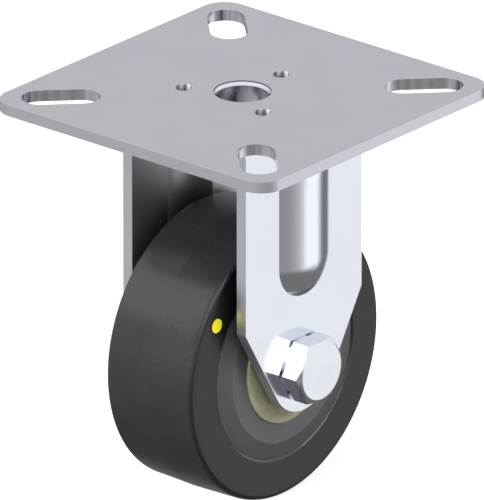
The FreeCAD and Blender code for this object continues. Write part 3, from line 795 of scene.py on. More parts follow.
class Mesh:
    """Helpers for plain meshes."""

    @staticmethod
    def shown(name: str, mesh: bpy.types.Mesh) -> bpy.types.Object:
        """An object in the scene for a mesh, at the origin, unturned and unscaled.

        Args:
            name: The object's name.
            mesh: Its mesh.

        Returns:
            The object.
        """
        made = bpy.data.objects.new(name, mesh)
        bpy.context.scene.collection.objects.link(made)
        return made

    @staticmethod
    def outline(name: str, points: Sequence[Point]) -> bpy.types.Mesh:
        """A row of points that a lathe tree turns round the axle.

        Args:
            name: The mesh's name.
            points: (along the axle, from the axle) in millimetres, in order.

        Returns:
            The mesh.
        """
        mesh = bpy.data.meshes.new(name)
        mesh.from_pydata([(x * MM, r * MM, 0.0) for x, r in points], [], [])
        return mesh

    @staticmethod
    def from_node(node: str, flat_angle: float = 0.4) -> bpy.types.Mesh:
        """A merged copy of a CAD node's mesh, its flat faces joined up.

        Args:
            node: The CAD node.
            flat_angle: Faces that meet at less than this many degrees are joined.

        Returns:
            The copy.
        """
        build = bmesh.new()
        build.from_mesh(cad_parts[node].data)
        bmesh.ops.remove_doubles(build, verts=build.verts, dist=CAD_WELD)
        bmesh.ops.dissolve_limit(
            build, angle_limit=math.radians(flat_angle), use_dissolve_boundaries=False,
            verts=build.verts, edges=build.edges)
        bmesh.ops.recalc_face_normals(build, faces=build.faces)
        mesh = bpy.data.meshes.new(node + "_copy")
        build.to_mesh(mesh)
        build.free()
        stored = mesh.attributes.get("custom_normal")
        if stored is not None:
            mesh.attributes.remove(stored)
        return mesh

    @staticmethod
    def dress(mesh: bpy.types.Mesh, material: bpy.types.Material, sharp: float = 30.0) -> None:
        """Give a mesh one material and smooth shading between its sharp edges.

        Args:
            mesh: The mesh.
            material: Its material.
            sharp: Edges that turn by more than this many degrees stay sharp.
        """
        mesh.materials.clear()
        mesh.materials.append(material)
        mesh.shade_smooth()
        mesh.set_sharp_from_angle(angle=math.radians(sharp))

    @staticmethod
    def ease_edges(piece: bpy.types.Object, width: float, sharp: float = 30.0) -> None:
        """Take the sharpness off a piece's edges, as tumbling and plating do.

        Args:
            piece: The piece.
            width: The width of the eased edge in millimetres.
            sharp: Edges that turn by more than this many degrees are eased.
        """
        bevel = piece.modifiers.new("eased_edges", "BEVEL")
        bevel.width = width * MM
        bevel.segments = 2
        bevel.limit_method = "ANGLE"
        bevel.angle_limit = math.radians(sharp)
        bevel.use_clamp_overlap = True
        flat = piece.modifiers.new("flat_faces", "WEIGHTED_NORMAL")
        flat.keep_sharp = True
        flat.weight = 100


class Shell:
    """Helpers for closed meshes and the outlines that they are turned from."""

    @staticmethod
    def face_outwards(mesh: bpy.types.Mesh) -> None:
        """Merge what coincides and point every face outwards.

        Args:
            mesh: The mesh.
        """
        build = bmesh.new()
        build.from_mesh(mesh)
        bmesh.ops.remove_doubles(build, verts=build.verts, dist=WELD)
        bmesh.ops.dissolve_degenerate(build, edges=build.edges, dist=WELD / 10.0)
        bmesh.ops.recalc_face_normals(build, faces=build.faces)
        build.to_mesh(mesh)
        build.free()

    @staticmethod
    def arc(centre: Point, radius: float, start: float, end: float, steps: int) -> List[Point]:
        """Points on an arc of an outline.

        Args:
            centre: The arc's centre in millimetres.
            radius: Its radius.
            start: The first angle in degrees from the axle's direction.
            end: The last angle.
            steps: Chords along it.

        Returns:
            The points.
        """
        angles = [math.radians(start + (end - start) * n / steps) for n in range(steps + 1)]
        return [(centre[0] + radius * math.cos(a), centre[1] + radius * math.sin(a))
                for a in angles]

    @staticmethod
    def mirrored(half: Sequence[Point]) -> List[Point]:
        """An outline from its +X half: the half, then the same points backwards at -X."""
        return list(half) + [(-x, r) for x, r in reversed(half)]


def settle(piece: bpy.types.Object, body: Body, nodes: Sequence[str] = ()) -> None:
    """Hang a finished piece on its body, and hide the nodes that it stands for.

    Args:
        piece: The piece.
        body: The body that it moves with.
        nodes: The CAD nodes that it replaces.
    """
    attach(piece, body.value)
    if nodes:
        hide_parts(*nodes)
    LOG.info("%s: %d faces on %s", piece.name, len(piece.data.polygons), body.value)


def repaint(nodes: Sequence[str], material: bpy.types.Material) -> None:
    """Put a material on CAD nodes that keep their own shape.

    Args:
        nodes: The nodes.
        material: The material.
    """
    for name in nodes:
        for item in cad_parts[name].material_slots:
            item.material = material
        LOG.info("%s: CAD node in %s", name, material.name)


# Sub-assemblies


@dataclass
class PressedSheet:
    """A punched and pressed sheet: the top plate or the fork.

    Lengths are in millimetres, heights from the plate's upper face. The sheet's parts are told
    apart by their place: the plate's outer edge lies past "rim", slots past "slots_from", small
    holes between the two "holes" and within "holes_half" along X, the fork's web above
    "web_foot", a bead past "leg_face" and above "bead_foot". A tilt is a part of a face's
    normal, along Z for walls and the web's underside, along X for edges of web and leg.
    """

    node: str
    name: str
    bent: bool = False
    eased: float = 0.02
    wall_tilt: float = 0.2
    under_tilt: float = -0.5
    web_tilt: float = 0.9
    leg_tilt: float = 0.15
    hole_cut: float = 0.8
    slot_cut: float = 0.35
    low_cut: float = 0.3
    rim: float = 46.0
    slots_from: float = 35.0
    holes: Tuple[float, float] = (12.0, 19.0)
    holes_half: float = 18.0
    web_foot: float = -7.0
    leg_face: float = 21.75
    bead_foot: float = -60.0
    # The painted reflection bands round a small hole's wall: how many, and their turn in degrees
    reflection_stripes: float = 7.0
    reflection_stripe_turn: float = 34.0

    def build(self, palette: Palette) -> bpy.types.Object:
        """Copy the node, mark its punched edges, and ease them.

        Args:
            palette: The finishes.

        Returns:
            The piece.
        """
        mesh = Mesh.from_node(self.node)
        for name, share in (("cut_edge", self._cut_share), ("drawn", self._is_bead_highlight),
                            ("inside", self._is_inside), ("slotted", self._is_slotted),
                            ("pierced", self._is_pierced), ("stripe", self._reflection_stripe)):
            layer = mesh.attributes.new(name, "FLOAT", "FACE")
            for face in mesh.polygons:
                layer.data[face.index].value = float(share(face))
        Mesh.dress(mesh, palette.fork if self.bent else palette.plate)
        piece = Mesh.shown(self.name, mesh)
        Mesh.ease_edges(piece, self.eased)
        settle(piece, Body.FRAME, [self.node])
        return piece

    def _cut_share(self, face: bpy.types.MeshPolygon) -> float:
        """How dull a punch has left a face that stands along the sheet's thickness.

        Args:
            face: The face.

        Returns:
            From 0 on the sheet's two sides to 1 on the fork's upright edges.
        """
        if self.bent:
            top = face.center.z > self.web_foot * MM
            across = self.web_tilt if top else self.leg_tilt
            if abs(face.normal.x) > across or (top and not self._is_wall(face)):
                return 0.0
            return self.low_cut if face.normal.z < -self.wall_tilt else 1.0
        if not self._is_wall(face):
            return 0.0
        dull = self._is_outer(face) or self._is_pierced(face)
        return self.hole_cut if dull else self.slot_cut

    def _is_wall(self, face: bpy.types.MeshPolygon) -> bool:
        """Whether a face stands upright."""
        return abs(face.normal.z) <= self.wall_tilt

    def _is_outer(self, face: bpy.types.MeshPolygon) -> bool:
        """Whether a face is on the plate's outer edge."""
        return max(abs(face.center.x), abs(face.center.y)) > self.rim * MM

    def _is_slotted(self, face: bpy.types.MeshPolygon) -> bool:
        """Whether a face is the wall of a slot."""
        inner = not self.bent and not self._is_outer(face)
        return inner and self._is_wall(face) and face.center.xy.length > self.slots_from * MM

    def _is_pierced(self, face: bpy.types.MeshPolygon) -> bool:
        """Whether a face is the wall of a small hole.

        Args:
            face: The face.

        Returns:
            The answer.
        """
        upright = self._is_wall(face) and face.center.z > self.web_foot * MM
        near, far = self.holes[0] * MM, self.holes[1] * MM
        inside = near < face.center.xy.length < far
        return upright and inside and abs(face.center.x) < self.holes_half * MM

    def _reflection_stripe(self, face: bpy.types.MeshPolygon) -> float:
        """How bright the painted reflection band is on a hole's wall, set by the face's direction,
        from 0 for dark to 1 for bright.
        """
        turn = math.atan2(face.normal.y, face.normal.x) + math.radians(self.reflection_stripe_turn)
        return 0.5 + 0.5 * math.cos(self.reflection_stripes * turn)

    def _is_bead_highlight(self, face: bpy.types.MeshPolygon) -> bool:
        """Whether a face is on the outside of a leg's bead, which gets a painted highlight."""
        outside = abs(face.center.x) > self.leg_face * MM
        return self.bent and outside and face.center.z > self.bead_foot * MM

    def _is_inside(self, face: bpy.types.MeshPolygon) -> bool:
        """Whether a face is on the inside of the bent sheet, which gets painted shade."""
        under = face.normal.z < self.under_tilt
        return self.bent and (under or face.normal.x * face.center.x < 0.0)


@dataclass
class AxleBolt:
    """The M10 bolt: plated head and shank from the frame, and a rolled thread on its end."""

    tip: float = -33.9
    thread_end: float = -9.0
    overlap: float = 0.4
    major: float = 5.0
    minor: float = 4.15
    pitch: float = 1.5
    chamfer: float = 0.9
    crest_flat: float = 1.15
    steps_each_turn: int = 48
    steps_along: int = 204
    thread_sharp: float = 35.0
    eased: float = 0.12
    crisp: float = 16.0

    def build(self, palette: Palette) -> None:
        """Make the bolt and its lock nut.

        Args:
            palette: The finishes.
        """
        head = self._head(palette.bolt)
        thread = self._thread(palette.bolt)
        settle(head, Body.FRAME, ["axle_bolt"])
        settle(thread, Body.FRAME)
        nut = Mesh.from_node("lock_nut")
        Mesh.dress(nut, palette.bolt, self.crisp)
        piece = Mesh.shown("lock_nut_eased", nut)
        Mesh.ease_edges(piece, self.eased, self.crisp)
        settle(piece, Body.FRAME, ["lock_nut"])
        repaint(["lock_nut_ring"], palette.nylon)

    def _head(self, material: bpy.types.Material) -> bpy.types.Object:
        """The bolt from its head to where the thread starts, closed there.

        Args:
            material: The plating.

        Returns:
            The piece.
        """
        mesh = Mesh.from_node("axle_bolt")
        build = bmesh.new()
        build.from_mesh(mesh)
        cut = bmesh.ops.bisect_plane(
            build, geom=build.verts[:] + build.edges[:] + build.faces[:], dist=WELD,
            plane_co=((self.thread_end + self.overlap) * MM, 0.0, 0.0),
            plane_no=(1.0, 0.0, 0.0), clear_inner=True)
        rim = [item for item in cut["geom_cut"] if isinstance(item, bmesh.types.BMEdge)]
        bmesh.ops.contextual_create(build, geom=rim)
        bmesh.ops.recalc_face_normals(build, faces=build.faces)
        build.to_mesh(mesh)
        build.free()
        Mesh.dress(mesh, material, self.crisp)
        piece = Mesh.shown("axle_bolt_head", mesh)
        Mesh.ease_edges(piece, self.eased, self.crisp)
        return piece

    def _thread(self, material: bpy.types.Material) -> bpy.types.Object:
        """The threaded end: a grid wound round the axle, its height following the helix.

        Args:
            material: The plating.

        Returns:
            The piece.
        """
        tree = GeometrySheet("rolled_thread")
        start = tree.named_input("Thread start", self.tip * MM)
        length = tree.named_input(
            "Thread length", (self.thread_end + self.overlap - self.tip) * MM)
        major = tree.named_input("Major radius", self.major * MM)
        minor = tree.named_input("Minor radius", self.minor * MM)
        pitch = tree.named_input("Pitch", self.pitch * MM)
        chamfer = tree.named_input("End chamfer", self.chamfer * MM)
        around = tree.named_input("Steps each turn", self.steps_each_turn)
        along = tree.named_input("Steps along", self.steps_along)
        drop = tree.named_input("Axle height", float(AXLE.z))
        material_in = tree.named_input("Material", material)
        grid = tree.node("GeometryNodeMeshGrid", None, {
            "Size X": 1.0, "Size Y": 1.0, "Vertices X": around + 1, "Vertices Y": along})
        u, v, _ = tree.split(tree.take(tree.node("GeometryNodeInputPosition")))
        turn = (u + 0.5) * FULL_TURN
        last = along - 1.0
        row = tree.math("ROUND", (v + 0.5) * last)
        # The first and the last two rows stay at the thread's ends, where the outermost row
        # shrinks to the axis and so closes the end
        share = tree.math("MINIMUM", tree.math("MAXIMUM", row - 2.0, 0.0), last - 4.0)
        at = share / (last - 4.0) * length
        wave = tree.math("PINGPONG", at / pitch + turn / FULL_TURN, 0.5) * 2.0
        crest = tree.math("MINIMUM", wave * self.crest_flat, 1.0)
        depth = minor + (major - minor) * crest
        cone = major - chamfer + at
        shut = tree.math("MINIMUM", tree.math("MINIMUM", row, last - row), 1.0)
        radius = tree.math("MINIMUM", depth, cone) * shut
        spot = tree.triple(start + at, radius * tree.math("COSINE", turn),
                           radius * tree.math("SINE", turn) + drop)
        wound = tree.node("GeometryNodeSetPosition", None,
                          {"Geometry": tree.take(grid, "Mesh"), "Position": spot})
        sealed = tree.node("GeometryNodeMergeByDistance", None,
                           {"Geometry": tree.take(wound), "Distance": WELD})
        tree.close(tree.take(sealed), material_in)
        piece = tree.run("axle_bolt_thread", Mesh.outline("thread_host", [(0.0, 0.0)]))
        Shell.face_outwards(piece.data)
        Mesh.dress(piece.data, material, self.thread_sharp)
        return piece


@dataclass(frozen=True)
class Pocket:
    """A round pocket sunk along the axle, its middle at (y, z) from the axle, in millimetres."""

    floor: float
    top: float
    y: float
    z: float
    radius: float
    sides: int = 48


@dataclass
class Turned:
    """A round piece that one tree turns from its outline."""

    name: str
    points: Sequence[Point]
    steps: int = 192
    pocket: Optional[Pocket] = None
    sharp: float = 30.0

    def build(self, material: bpy.types.Material) -> bpy.types.Object:
        """Turn the outline round the axle, and cut the pocket if there is one.

        Args:
            material: The finish.

        Returns:
            The piece.
        """
        tree = GeometrySheet("turned_" + self.name)
        steps = tree.named_input("Steps round", self.steps)
        drop = tree.named_input("Axle height", float(AXLE.z))
        material_in = tree.named_input("Material", material)
        outline = tree.geometry
        size = tree.node("GeometryNodeAttributeDomainSize", {"component": "MESH"}, {0: outline})
        count = tree.take(size, "Point Count")
        grid = tree.node("GeometryNodeMeshGrid", None, {
            "Size X": 1.0, "Size Y": 1.0, "Vertices X": steps + 1, "Vertices Y": count + 1})
        place = tree.take(tree.node("GeometryNodeInputPosition"))
        u, v, _ = tree.split(place)
        turn = tree.math("ROUND", (u + 0.5) * steps) / steps * FULL_TURN
        number = tree.math("MODULO", tree.math("ROUND", (v + 0.5) * count), count)
        looked_up = tree.node("GeometryNodeSampleIndex", {"data_type": "FLOAT_VECTOR"}, {
            "Geometry": outline, "Value": place, "Index": number})
        along, radius, _ = tree.split(tree.take(looked_up, "Value"))
        spot = tree.triple(along, radius * tree.math("COSINE", turn),
                           radius * tree.math("SINE", turn) + drop)
        wound = tree.node("GeometryNodeSetPosition", None,
                          {"Geometry": tree.take(grid, "Mesh"), "Position": spot})
        sealed = tree.take(tree.node("GeometryNodeMergeByDistance", None,
                                     {"Geometry": tree.take(wound), "Distance": WELD}))
        if self.pocket is not None:
            sealed = self._with_pocket(tree, sealed, self.pocket)
        tree.close(sealed, material_in)
        piece = tree.run(self.name, Mesh.outline(self.name + "_outline", self.points))
        Shell.face_outwards(piece.data)
        Mesh.dress(piece.data, material, self.sharp)
        return piece

    def _with_pocket(self, tree: GeometrySheet, solid: Signal, pocket: Pocket) -> Signal:
        """Cut a pocket in the turned solid.

        Args:
            tree: The tree.
            solid: The turned solid.
            pocket: The pocket.

        Returns:
            The solid with its pocket.
        """
        middle = (pocket.floor + pocket.top) / 2
        drill = tree.node("GeometryNodeMeshCylinder", None, {
            "Vertices": pocket.sides,
            "Radius": tree.named_input("Pocket radius", pocket.radius * MM),
            "Depth": tree.named_input("Drill length", (pocket.top - pocket.floor) * MM)})
        put = tree.node("GeometryNodeTransform", None, {
            "Geometry": tree.take(drill, "Mesh"),
            "Translation": (middle * MM, pocket.y * MM, pocket.z * MM + AXLE.z),
            "Rotation": (0.0, FULL_TURN / 4, 0.0)})
        cut = tree.node("GeometryNodeMeshBoolean", {"operation": "DIFFERENCE", "solver": "EXACT"},
                        {0: solid, 1: tree.take(put)})
        return tree.take(cut, 0)


@dataclass
class Wheel:
    """Tyre, core, hub covers and the coloured mark, in millimetres and degrees."""

    radius: float = 40.0
    half_width: float = 15.0
    slope: float = 1.5
    edge: float = 1.5
    tread_rows: Tuple[float, ...] = (0.0, 0.3, 5.0, 10.0)
    side_row: float = 36.0
    inner: float = 28.6
    lip: float = 0.4
    lip_chamfer: float = 0.25
    key_radius: float = 32.02
    key_top: float = 5.0
    key_foot: float = 7.0
    core_edge: Tuple[Point, Point] = ((-0.1, 0.0), (0.03, -0.08))
    hub_face: float = 16.2
    hub_mouth: float = 0.2
    hub_mouth_mid: float = 0.06
    step: float = 23.35
    step_round: float = 0.4
    cover_radius: float = 17.45
    cover_face: float = 15.3
    cover_thick: float = 1.5
    cover_edge: float = 0.35
    cover_hole: float = 10.2
    cover_hole_edge: float = 0.2
    seat: float = 16.0
    bearing_back: float = 6.0
    core_bore: float = 13.5
    mark_radius: float = 2.0007
    mark_reach: float = 34.1005
    mark_angle: float = 146.6
    mark_depth: float = 0.8
    drill_past: float = 1.0

    def build(self, palette: Palette) -> None:
        """Make the wheel's pieces.

        Args:
            palette: The finishes.
        """
        angle = math.radians(self.mark_angle)
        pocket = Pocket(
            self.half_width - self.mark_depth, self.half_width + self.drill_past,
            self.mark_reach * math.cos(angle), self.mark_reach * math.sin(angle),
            self.mark_radius)
        tyre = Turned(
            "tyre_moulding", Shell.mirrored(self._tyre_half()), steps=240, pocket=pocket)
        settle(tyre.build(palette.rubber), Body.WHEEL, ["tyre"])
        core = Turned("wheel_core_moulding", Shell.mirrored(self._core_half()))
        settle(core.build(palette.core), Body.WHEEL, ["wheel_core"])
        for side in Side:
            outline = [(x * side.value, r) for x, r in self._cover()]
            cover = Turned("hub_cover_%s_disc" % side.word, outline, steps=144)
            settle(cover.build(palette.cover), Body.WHEEL, ["hub_cover_" + side.word])
        repaint(["conductive_mark"], palette.mark)

    def _tyre_half(self) -> List[Point]:
        """The tyre's outline from the middle of its tread to the middle of its bore.

        Returns:
            The points.
        """
        centre_x = self.half_width - self.edge
        slope = math.radians(self.slope)
        centre_r = self.radius - centre_x * math.tan(slope) - self.edge / math.cos(slope)
        tread = [(x, self.radius - x * math.tan(slope)) for x in self.tread_rows]
        edge = Shell.arc((centre_x, centre_r), self.edge, 90.0 - self.slope, 0.0, 10)
        lip_x, lip_r = self.half_width - self.lip, self.inner - self.lip
        side = [(self.half_width, self.side_row),
                (self.half_width, self.inner + self.lip_chamfer),
                (self.half_width - self.lip_chamfer, self.inner)]
        key = [(lip_x, lip_r), (self.key_foot, lip_r), (self.key_top, self.key_radius)]
        return tread + edge + side + key

    def _core_half(self) -> List[Point]:
        """The core's outline from the middle of its rim to the middle of its bore.

        Returns:
            The points.
        """
        lip_x, lip_r = self.half_width - self.lip, self.inner - self.lip
        cone = Vector((lip_x - self.hub_face, lip_r - self.step)).normalized()
        tilt = math.degrees(math.atan2(-cone.x, cone.y))
        reach = self.step_round * math.tan(math.radians((90.0 - tilt) / 2))
        centre = (self.hub_face - self.step_round, self.step - reach)
        step = Shell.arc(centre, self.step_round, tilt, 0.0, 6)
        edge = [(lip_x + x, lip_r + r) for x, r in self.core_edge]
        rim = [(self.key_top, self.key_radius), (self.key_foot, lip_r)]
        hub = [(self.hub_face, self.cover_radius + self.hub_mouth),
               (self.hub_face - self.hub_mouth_mid, self.cover_radius + self.hub_mouth_mid),
               (self.hub_face - self.hub_mouth, self.cover_radius),
               (self.cover_face, self.cover_radius), (self.cover_face, self.seat),
               (self.bearing_back, self.seat), (self.bearing_back, self.core_bore)]
        return rim + edge + step + hub

    def _cover(self) -> List[Point]:
        """A hub cover's outline, counted outwards from the wheel's middle.

        Returns:
            The points.
        """
        outside, edge, hole_edge = (
            self.cover_face + self.cover_thick, self.cover_edge, self.cover_hole_edge)
        rounded = Shell.arc((outside - edge, self.cover_radius - edge), edge, 90.0, 0.0, 6)
        bore = Shell.arc(
            (outside - hole_edge, self.cover_hole + hole_edge), hole_edge, 0.0, -90.0, 4)
        return ([(self.cover_face, self.cover_radius)] + rounded
                + bore + [(self.cover_face, self.cover_hole)])


@dataclass
class BallBearing:
    """One deep-groove bearing: rings and shields from the frame, a ball set of its own."""

    side: Side
    middle: float = 10.5
    pitch_radius: float = 11.75
    ball_radius: float = 2.381
    ball_segments: int = 32
    ball_rings: int = 16
    ball_sharp: float = 60.0
    balls: int = 9

    def build(self, palette: Palette) -> None:
        """Dress the bearing and make its balls.

        Args:
            palette: The finishes.
        """
        word = self.side.word
        repaint(["inner_ring_" + word, "outer_ring_" + word, "shield_%s_outer" % word,
                 "shield_%s_inner" % word], palette.ground)
        repaint(["cage_" + word], palette.cage)
        repaint(["bush_" + word], palette.turned)
        nodes = ["ball_%s_%d" % (word, number + 1) for number in range(self.balls)]
        settle(self._ball_set(palette.ground), Body.cage(self.side), nodes)

    def _ball_set(self, material: bpy.types.Material) -> bpy.types.Object:
        """The balls, one at each point of the pitch circle, the first straight above the axle.

        Args:
            material: The finish.

        Returns:
            The piece.
        """
        name = "ball_set_" + self.side.word
        tree = GeometrySheet(name)
        count = tree.named_input("Balls", self.balls)
        pitch = tree.named_input("Pitch radius", self.pitch_radius * MM)
        radius = tree.named_input("Ball radius", self.ball_radius * MM)
        material_in = tree.named_input("Material", material)
        circle = tree.node("GeometryNodeMeshCircle", None, {"Vertices": count, "Radius": pitch})
        ball = tree.node("GeometryNodeMeshUVSphere", None, {
            "Segments": self.ball_segments, "Rings": self.ball_rings, "Radius": radius})
        spread = tree.node("GeometryNodeInstanceOnPoints", None,
                           {"Points": tree.take(circle), "Instance": tree.take(ball, "Mesh")})
        put = tree.node("GeometryNodeTransform", None, {
            "Geometry": tree.take(spread),
            "Translation": (self.middle * self.side.value * MM, 0.0, float(AXLE.z)),
            "Rotation": (0.0, -FULL_TURN / 4, 0.0)})
        tree.close(tree.take(put), material_in)
        piece = tree.run(name, Mesh.outline(name + "_host", [(0.0, 0.0)]))
        Mesh.dress(piece.data, material, self.ball_sharp)
        return piece


@dataclass
class Castor:
    """The whole castor."""

    plate: PressedSheet = field(
        default_factory=lambda: PressedSheet("top_plate", "top_plate_sheet"))
    fork: PressedSheet = field(
        default_factory=lambda: PressedSheet("fork", "fork_sheet", bent=True))
    bolt: AxleBolt = field(default_factory=AxleBolt)
    wheel: Wheel = field(default_factory=Wheel)
    bearings: Tuple[BallBearing, ...] = field(
        default_factory=lambda: tuple(BallBearing(side) for side in Side))

    def build(self) -> None:
        """Build and dress every piece."""
        palette = Palette.made()
        self.plate.build(palette)
        self.fork.build(palette)
        self.bolt.build(palette)
        self.wheel.build(palette)
        for bearing in self.bearings:
            bearing.build(palette)
        repaint(["spacer_sleeve"], palette.turned)


# Studio


@dataclass(frozen=True)
class Softbox:
    """A square soft light that points at the castor; lengths in metres, power in watts."""

    name: str
    spot: Tuple[float, float, float]
    side: float
    power: float

    def build(self) -> bpy.types.Object:
        """Hang the light where neither the camera nor bright metal sees it.

        Returns:
            The lamp.
        """
        light = bpy.data.lights.new(self.name, "AREA")
        light.shape = "SQUARE"
        light.size = self.side
        light.energy = self.power
        lamp = bpy.data.objects.new(self.name, light)
        bpy.context.scene.collection.objects.link(lamp)
        lamp.location = self.spot
        lamp.rotation_mode = "QUATERNION"
        lamp.rotation_quaternion = (Vector(self.spot) - AXLE).to_track_quat("Z", "Y")
        lamp.visible_glossy = False
        lamp.visible_camera = False
        return lamp


@dataclass(frozen=True)
class Panel:
    """A soft light that only some of the castor's pieces see, and mirror.

    Its azimuth is counted from +X towards +Y and its elevation from level, both in degrees, its
    side and its distance from the axle in metres; a brightness of 1 is mirrored as white.
    """

    name: str
    azimuth: float
    elevation: float
    side: float
    brightness: float
    pieces: Tuple[str, ...]
    distance: float = 1.5

    def build(self) -> None:
        """Hang the panel, turned to the axle, and link it to its pieces."""
        around, up = math.radians(self.azimuth), math.radians(self.elevation)
        spot = AXLE + self.distance * Vector(
            (math.cos(around) * math.cos(up), math.sin(around) * math.cos(up), math.sin(up)))
        power = math.pi * self.side ** 2 * self.brightness
        lamp = Softbox(self.name, tuple(spot), self.side, power).build()
        lamp.visible_glossy = True
        linked = bpy.data.collections.new(self.name + "_pieces")
        for piece in self.pieces:
            linked.objects.link(bpy.data.objects[piece])
        lamp.light_linking.receiver_collection = linked


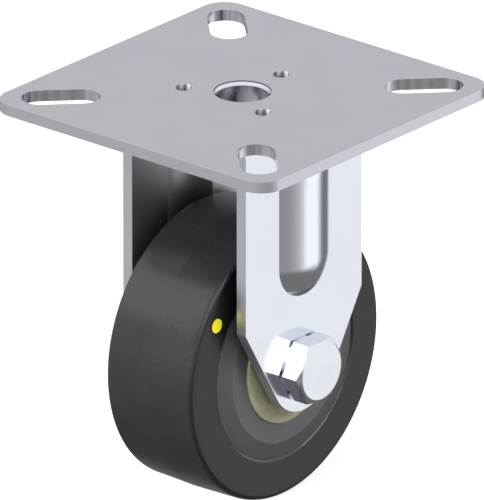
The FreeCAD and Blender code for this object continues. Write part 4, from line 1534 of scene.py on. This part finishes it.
@dataclass
class Studio:
    """Pale floor, soft light and the surroundings that bright metal shows.

    The bands give the brightness round the horizon as pairs of an angle in degrees, counted from
    +X towards +Y, and a level from 0 to 1. One band passes into another between two heights,
    where 1 is straight up; from low to deep the heights are counted downwards.
    """

    floor_height: float = -114.3 * MM
    floor_half: float = 4.0
    floor_tones: Tuple[float, float] = (0.28, 0.295)
    floor_glow: float = 0.80
    deep_band: Band = (
        (-180.0, 0.13), (-160.0, 0.14), (-110.0, 0.42), (-50.0, 0.42), (-22.0, 0.16),
        (105.0, 0.17), (128.0, 0.36), (140.0, 0.30), (160.0, 0.14), (180.0, 0.13))
    low_band: Band = (
        (-180.0, 0.45), (-130.0, 0.50), (-90.0, 0.44), (-40.0, 0.25), (-24.0, 0.26), (0.0, 0.31),
        (14.0, 0.44), (23.5, 0.63), (33.0, 0.97), (42.0, 0.99), (59.0, 0.99), (65.0, 0.78),
        (71.5, 0.40), (80.0, 0.18), (124.0, 0.14), (150.0, 0.30), (180.0, 0.45))
    level_band: Band = (
        (-180.0, 0.85), (-150.0, 0.98), (-126.0, 0.84), (-95.0, 1.00), (60.0, 1.00),
        (85.0, 0.85), (115.0, 0.60), (145.0, 0.60), (180.0, 0.85))
    high_band: Band = (
        (-180.0, 0.80), (-140.0, 0.98), (60.0, 0.98), (85.0, 0.85), (115.0, 0.60),
        (145.0, 0.60), (180.0, 0.80))
    low_to_level: Tuple[float, float] = (-0.24, -0.02)
    level_to_high: Tuple[float, float] = (0.24, 0.36)
    low_to_deep: Tuple[float, float] = (0.42, 0.56)
    high_to_white: Tuple[float, float] = (0.6, 0.9)
    soft_light: Tuple[float, float] = (0.20, 0.66)
    softboxes: Sequence[Softbox] = (
        Softbox("key_softbox", (0.25, -0.45, 1.25), side=1.1, power=8.0),
        Softbox("side_softbox", (1.20, 0.55, 0.75), side=0.7, power=13.5),
        Softbox("tread_softbox", (-0.45, -1.30, 0.40), side=0.9, power=76.0))
    panels: Sequence[Panel] = (
        Panel("bolt_panel", azimuth=-34.0, elevation=39.0, side=1.15, brightness=2.2,
              pieces=("axle_bolt_head", "fork_sheet", "tyre_moulding")),
        Panel("tread_panel", azimuth=-140.0, elevation=36.0, side=0.85, brightness=1.45,
              pieces=("tyre_moulding",)),
        Panel("lip_panel", azimuth=15.0, elevation=42.0, side=0.9, brightness=2.0,
              pieces=("tyre_moulding",)))

    def build(self) -> None:
        """Make floor, surroundings and lamps."""
        self._floor()
        self._surroundings()
        for lamp in (*self.softboxes, *self.panels):
            lamp.build()
            LOG.info("%s: lamp", lamp.name)

    def _floor(self) -> None:
        """A plane that keeps the shadow, looks white, and lets metal see the surroundings."""
        mesh = bpy.data.meshes.new("studio_floor")
        half, height = self.floor_half, self.floor_height
        mesh.from_pydata([(-half, -half, height), (half, -half, height), (half, half, height),
                          (-half, half, height)], [], [(0, 1, 2, 3)])
        sheet = ShaderSheet("studio_floor_white")
        path = sheet.node("ShaderNodeLightPath")
        paper = sheet.noise(sheet.place(), scale=9.0, detail=3.0)
        dark, light = ((tone, tone, tone) for tone in self.floor_tones)
        matt = sheet.node("ShaderNodeBsdfDiffuse", None, {"Color": sheet.blend(paper, dark, light)})
        glow = sheet.node("ShaderNodeEmission", None, {
            "Color": (1.0, 1.0, 1.0),
            "Strength": sheet.take(path, "Is Camera Ray") * self.floor_glow})
        seen = sheet.node("ShaderNodeAddShader", None, {0: sheet.take(matt), 1: sheet.take(glow)})
        clear = sheet.node("ShaderNodeBsdfTransparent")
        under = sheet.take(sheet.node("ShaderNodeNewGeometry"), "Backfacing")
        through = sheet.math("MAXIMUM", sheet.take(path, "Is Glossy Ray"), under)
        mixed = sheet.node("ShaderNodeMixShader", None,
                           {0: through, 1: sheet.take(seen), 2: sheet.take(clear)})
        sheet.node("ShaderNodeOutputMaterial", None, {"Surface": sheet.take(mixed)})
        mesh.materials.append(sheet.material)
        Mesh.shown("studio_floor", mesh)

    def _surroundings(self) -> None:
        """White to the camera, soft to matt surfaces, and shaped for what metal reflects."""
        world = bpy.data.worlds.new("studio_surroundings")
        world.use_nodes = True
        bpy.context.scene.world = world
        world.cycles.sampling_method = "NONE"
        sheet = Sheet(world.node_tree)
        path = sheet.node("ShaderNodeLightPath")
        direction = sheet.take(sheet.node("ShaderNodeTexCoord"), "Generated")
        x, y, z = sheet.split(direction)
        around = sheet.math("ARCTAN2", y, x) / FULL_TURN + 0.5
        low, level, high, deep = (
            self._ramp(sheet, around, band)
            for band in (self.low_band, self.level_band, self.high_band, self.deep_band))
        shaped = self._stacked(low, level, sheet.span(z, *self.low_to_level))
        shaped = self._stacked(shaped, high, sheet.span(z, *self.level_to_high))
        shaped = self._stacked(shaped, deep, sheet.span(-z, *self.low_to_deep))
        shaped = self._stacked(shaped, 1.0, sheet.span(z, *self.high_to_white))
        soft = sheet.span(z, -1.0, 1.0, *self.soft_light)
        shown = self._stacked(soft, shaped, sheet.take(path, "Is Glossy Ray"))
        shown = self._stacked(shown, 1.0, sheet.take(path, "Is Camera Ray"))
        glow = sheet.node("ShaderNodeBackground", None,
                          {"Color": (1.0, 1.0, 1.0), "Strength": shown})
        sheet.node("ShaderNodeOutputWorld", None, {"Surface": sheet.take(glow)})

    def _stacked(self, below: Signal, above: Value, share: Signal) -> Signal:
        """One brightness that passes into another as a share goes from 0 to 1."""
        return below * (1.0 - share) + above * share

    def _ramp(self, sheet: Sheet, around: Signal, band: Band) -> Signal:
        """Brightness round the horizon.

        Args:
            sheet: The world's tree.
            around: The direction round the horizon, 0 to 1.
            band: Pairs of an angle in degrees and a brightness.

        Returns:
            The brightness.
        """
        stops = [((angle + 180.0) / 360.0, level) for angle, level in band]
        ramp = sheet.node("ShaderNodeValToRGB", {"stops": stops}, {0: around})
        return sheet.split(sheet.take(ramp))[0]


@dataclass
class Camera:
    """The photograph's view: nearly parallel, from the front left and above.

    The azimuth is counted from -Y towards +X. Angles are in degrees, lens and sensor in
    millimetres, the rest in metres.
    """

    azimuth: float = 40.2
    elevation: float = 22.24
    lens: float = 1650.0
    sensor: float = 36.0
    clip: Tuple[float, float] = (0.5, 100.0)
    frame_height: float = 134.9 * MM
    target: Vector = field(default_factory=lambda: Vector((10.36, -12.47, -39.64)) * MM)

    def build(self) -> None:
        """Put the camera in place and make it the scene's."""
        data = bpy.data.cameras.new("photograph_view")
        data.type = "PERSP"
        data.lens = self.lens
        data.sensor_width = self.sensor
        distance = self.frame_height * self.lens / self.sensor
        data.clip_start, data.clip_end = self.clip
        around, up = math.radians(self.azimuth), math.radians(self.elevation)
        back = Vector(
            (math.sin(around) * math.cos(up), -math.cos(around) * math.cos(up), math.sin(up)))
        camera = bpy.data.objects.new("photograph_view", data)
        bpy.context.scene.collection.objects.link(camera)
        camera.location = self.target + back * distance
        camera.rotation_mode = "QUATERNION"
        camera.rotation_quaternion = (-back).to_track_quat("-Z", "Y")
        bpy.context.scene.camera = camera


def main() -> None:
    """Set up the camera, build the castor, and light it; each piece is reported."""
    logging.basicConfig(level=logging.INFO, format="%(message)s")
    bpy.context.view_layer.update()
    bpy.context.scene.view_settings.view_transform = "Standard"
    Camera().build()
    Castor().build()
    Studio().build()


if __name__ == "__main__":
    main()
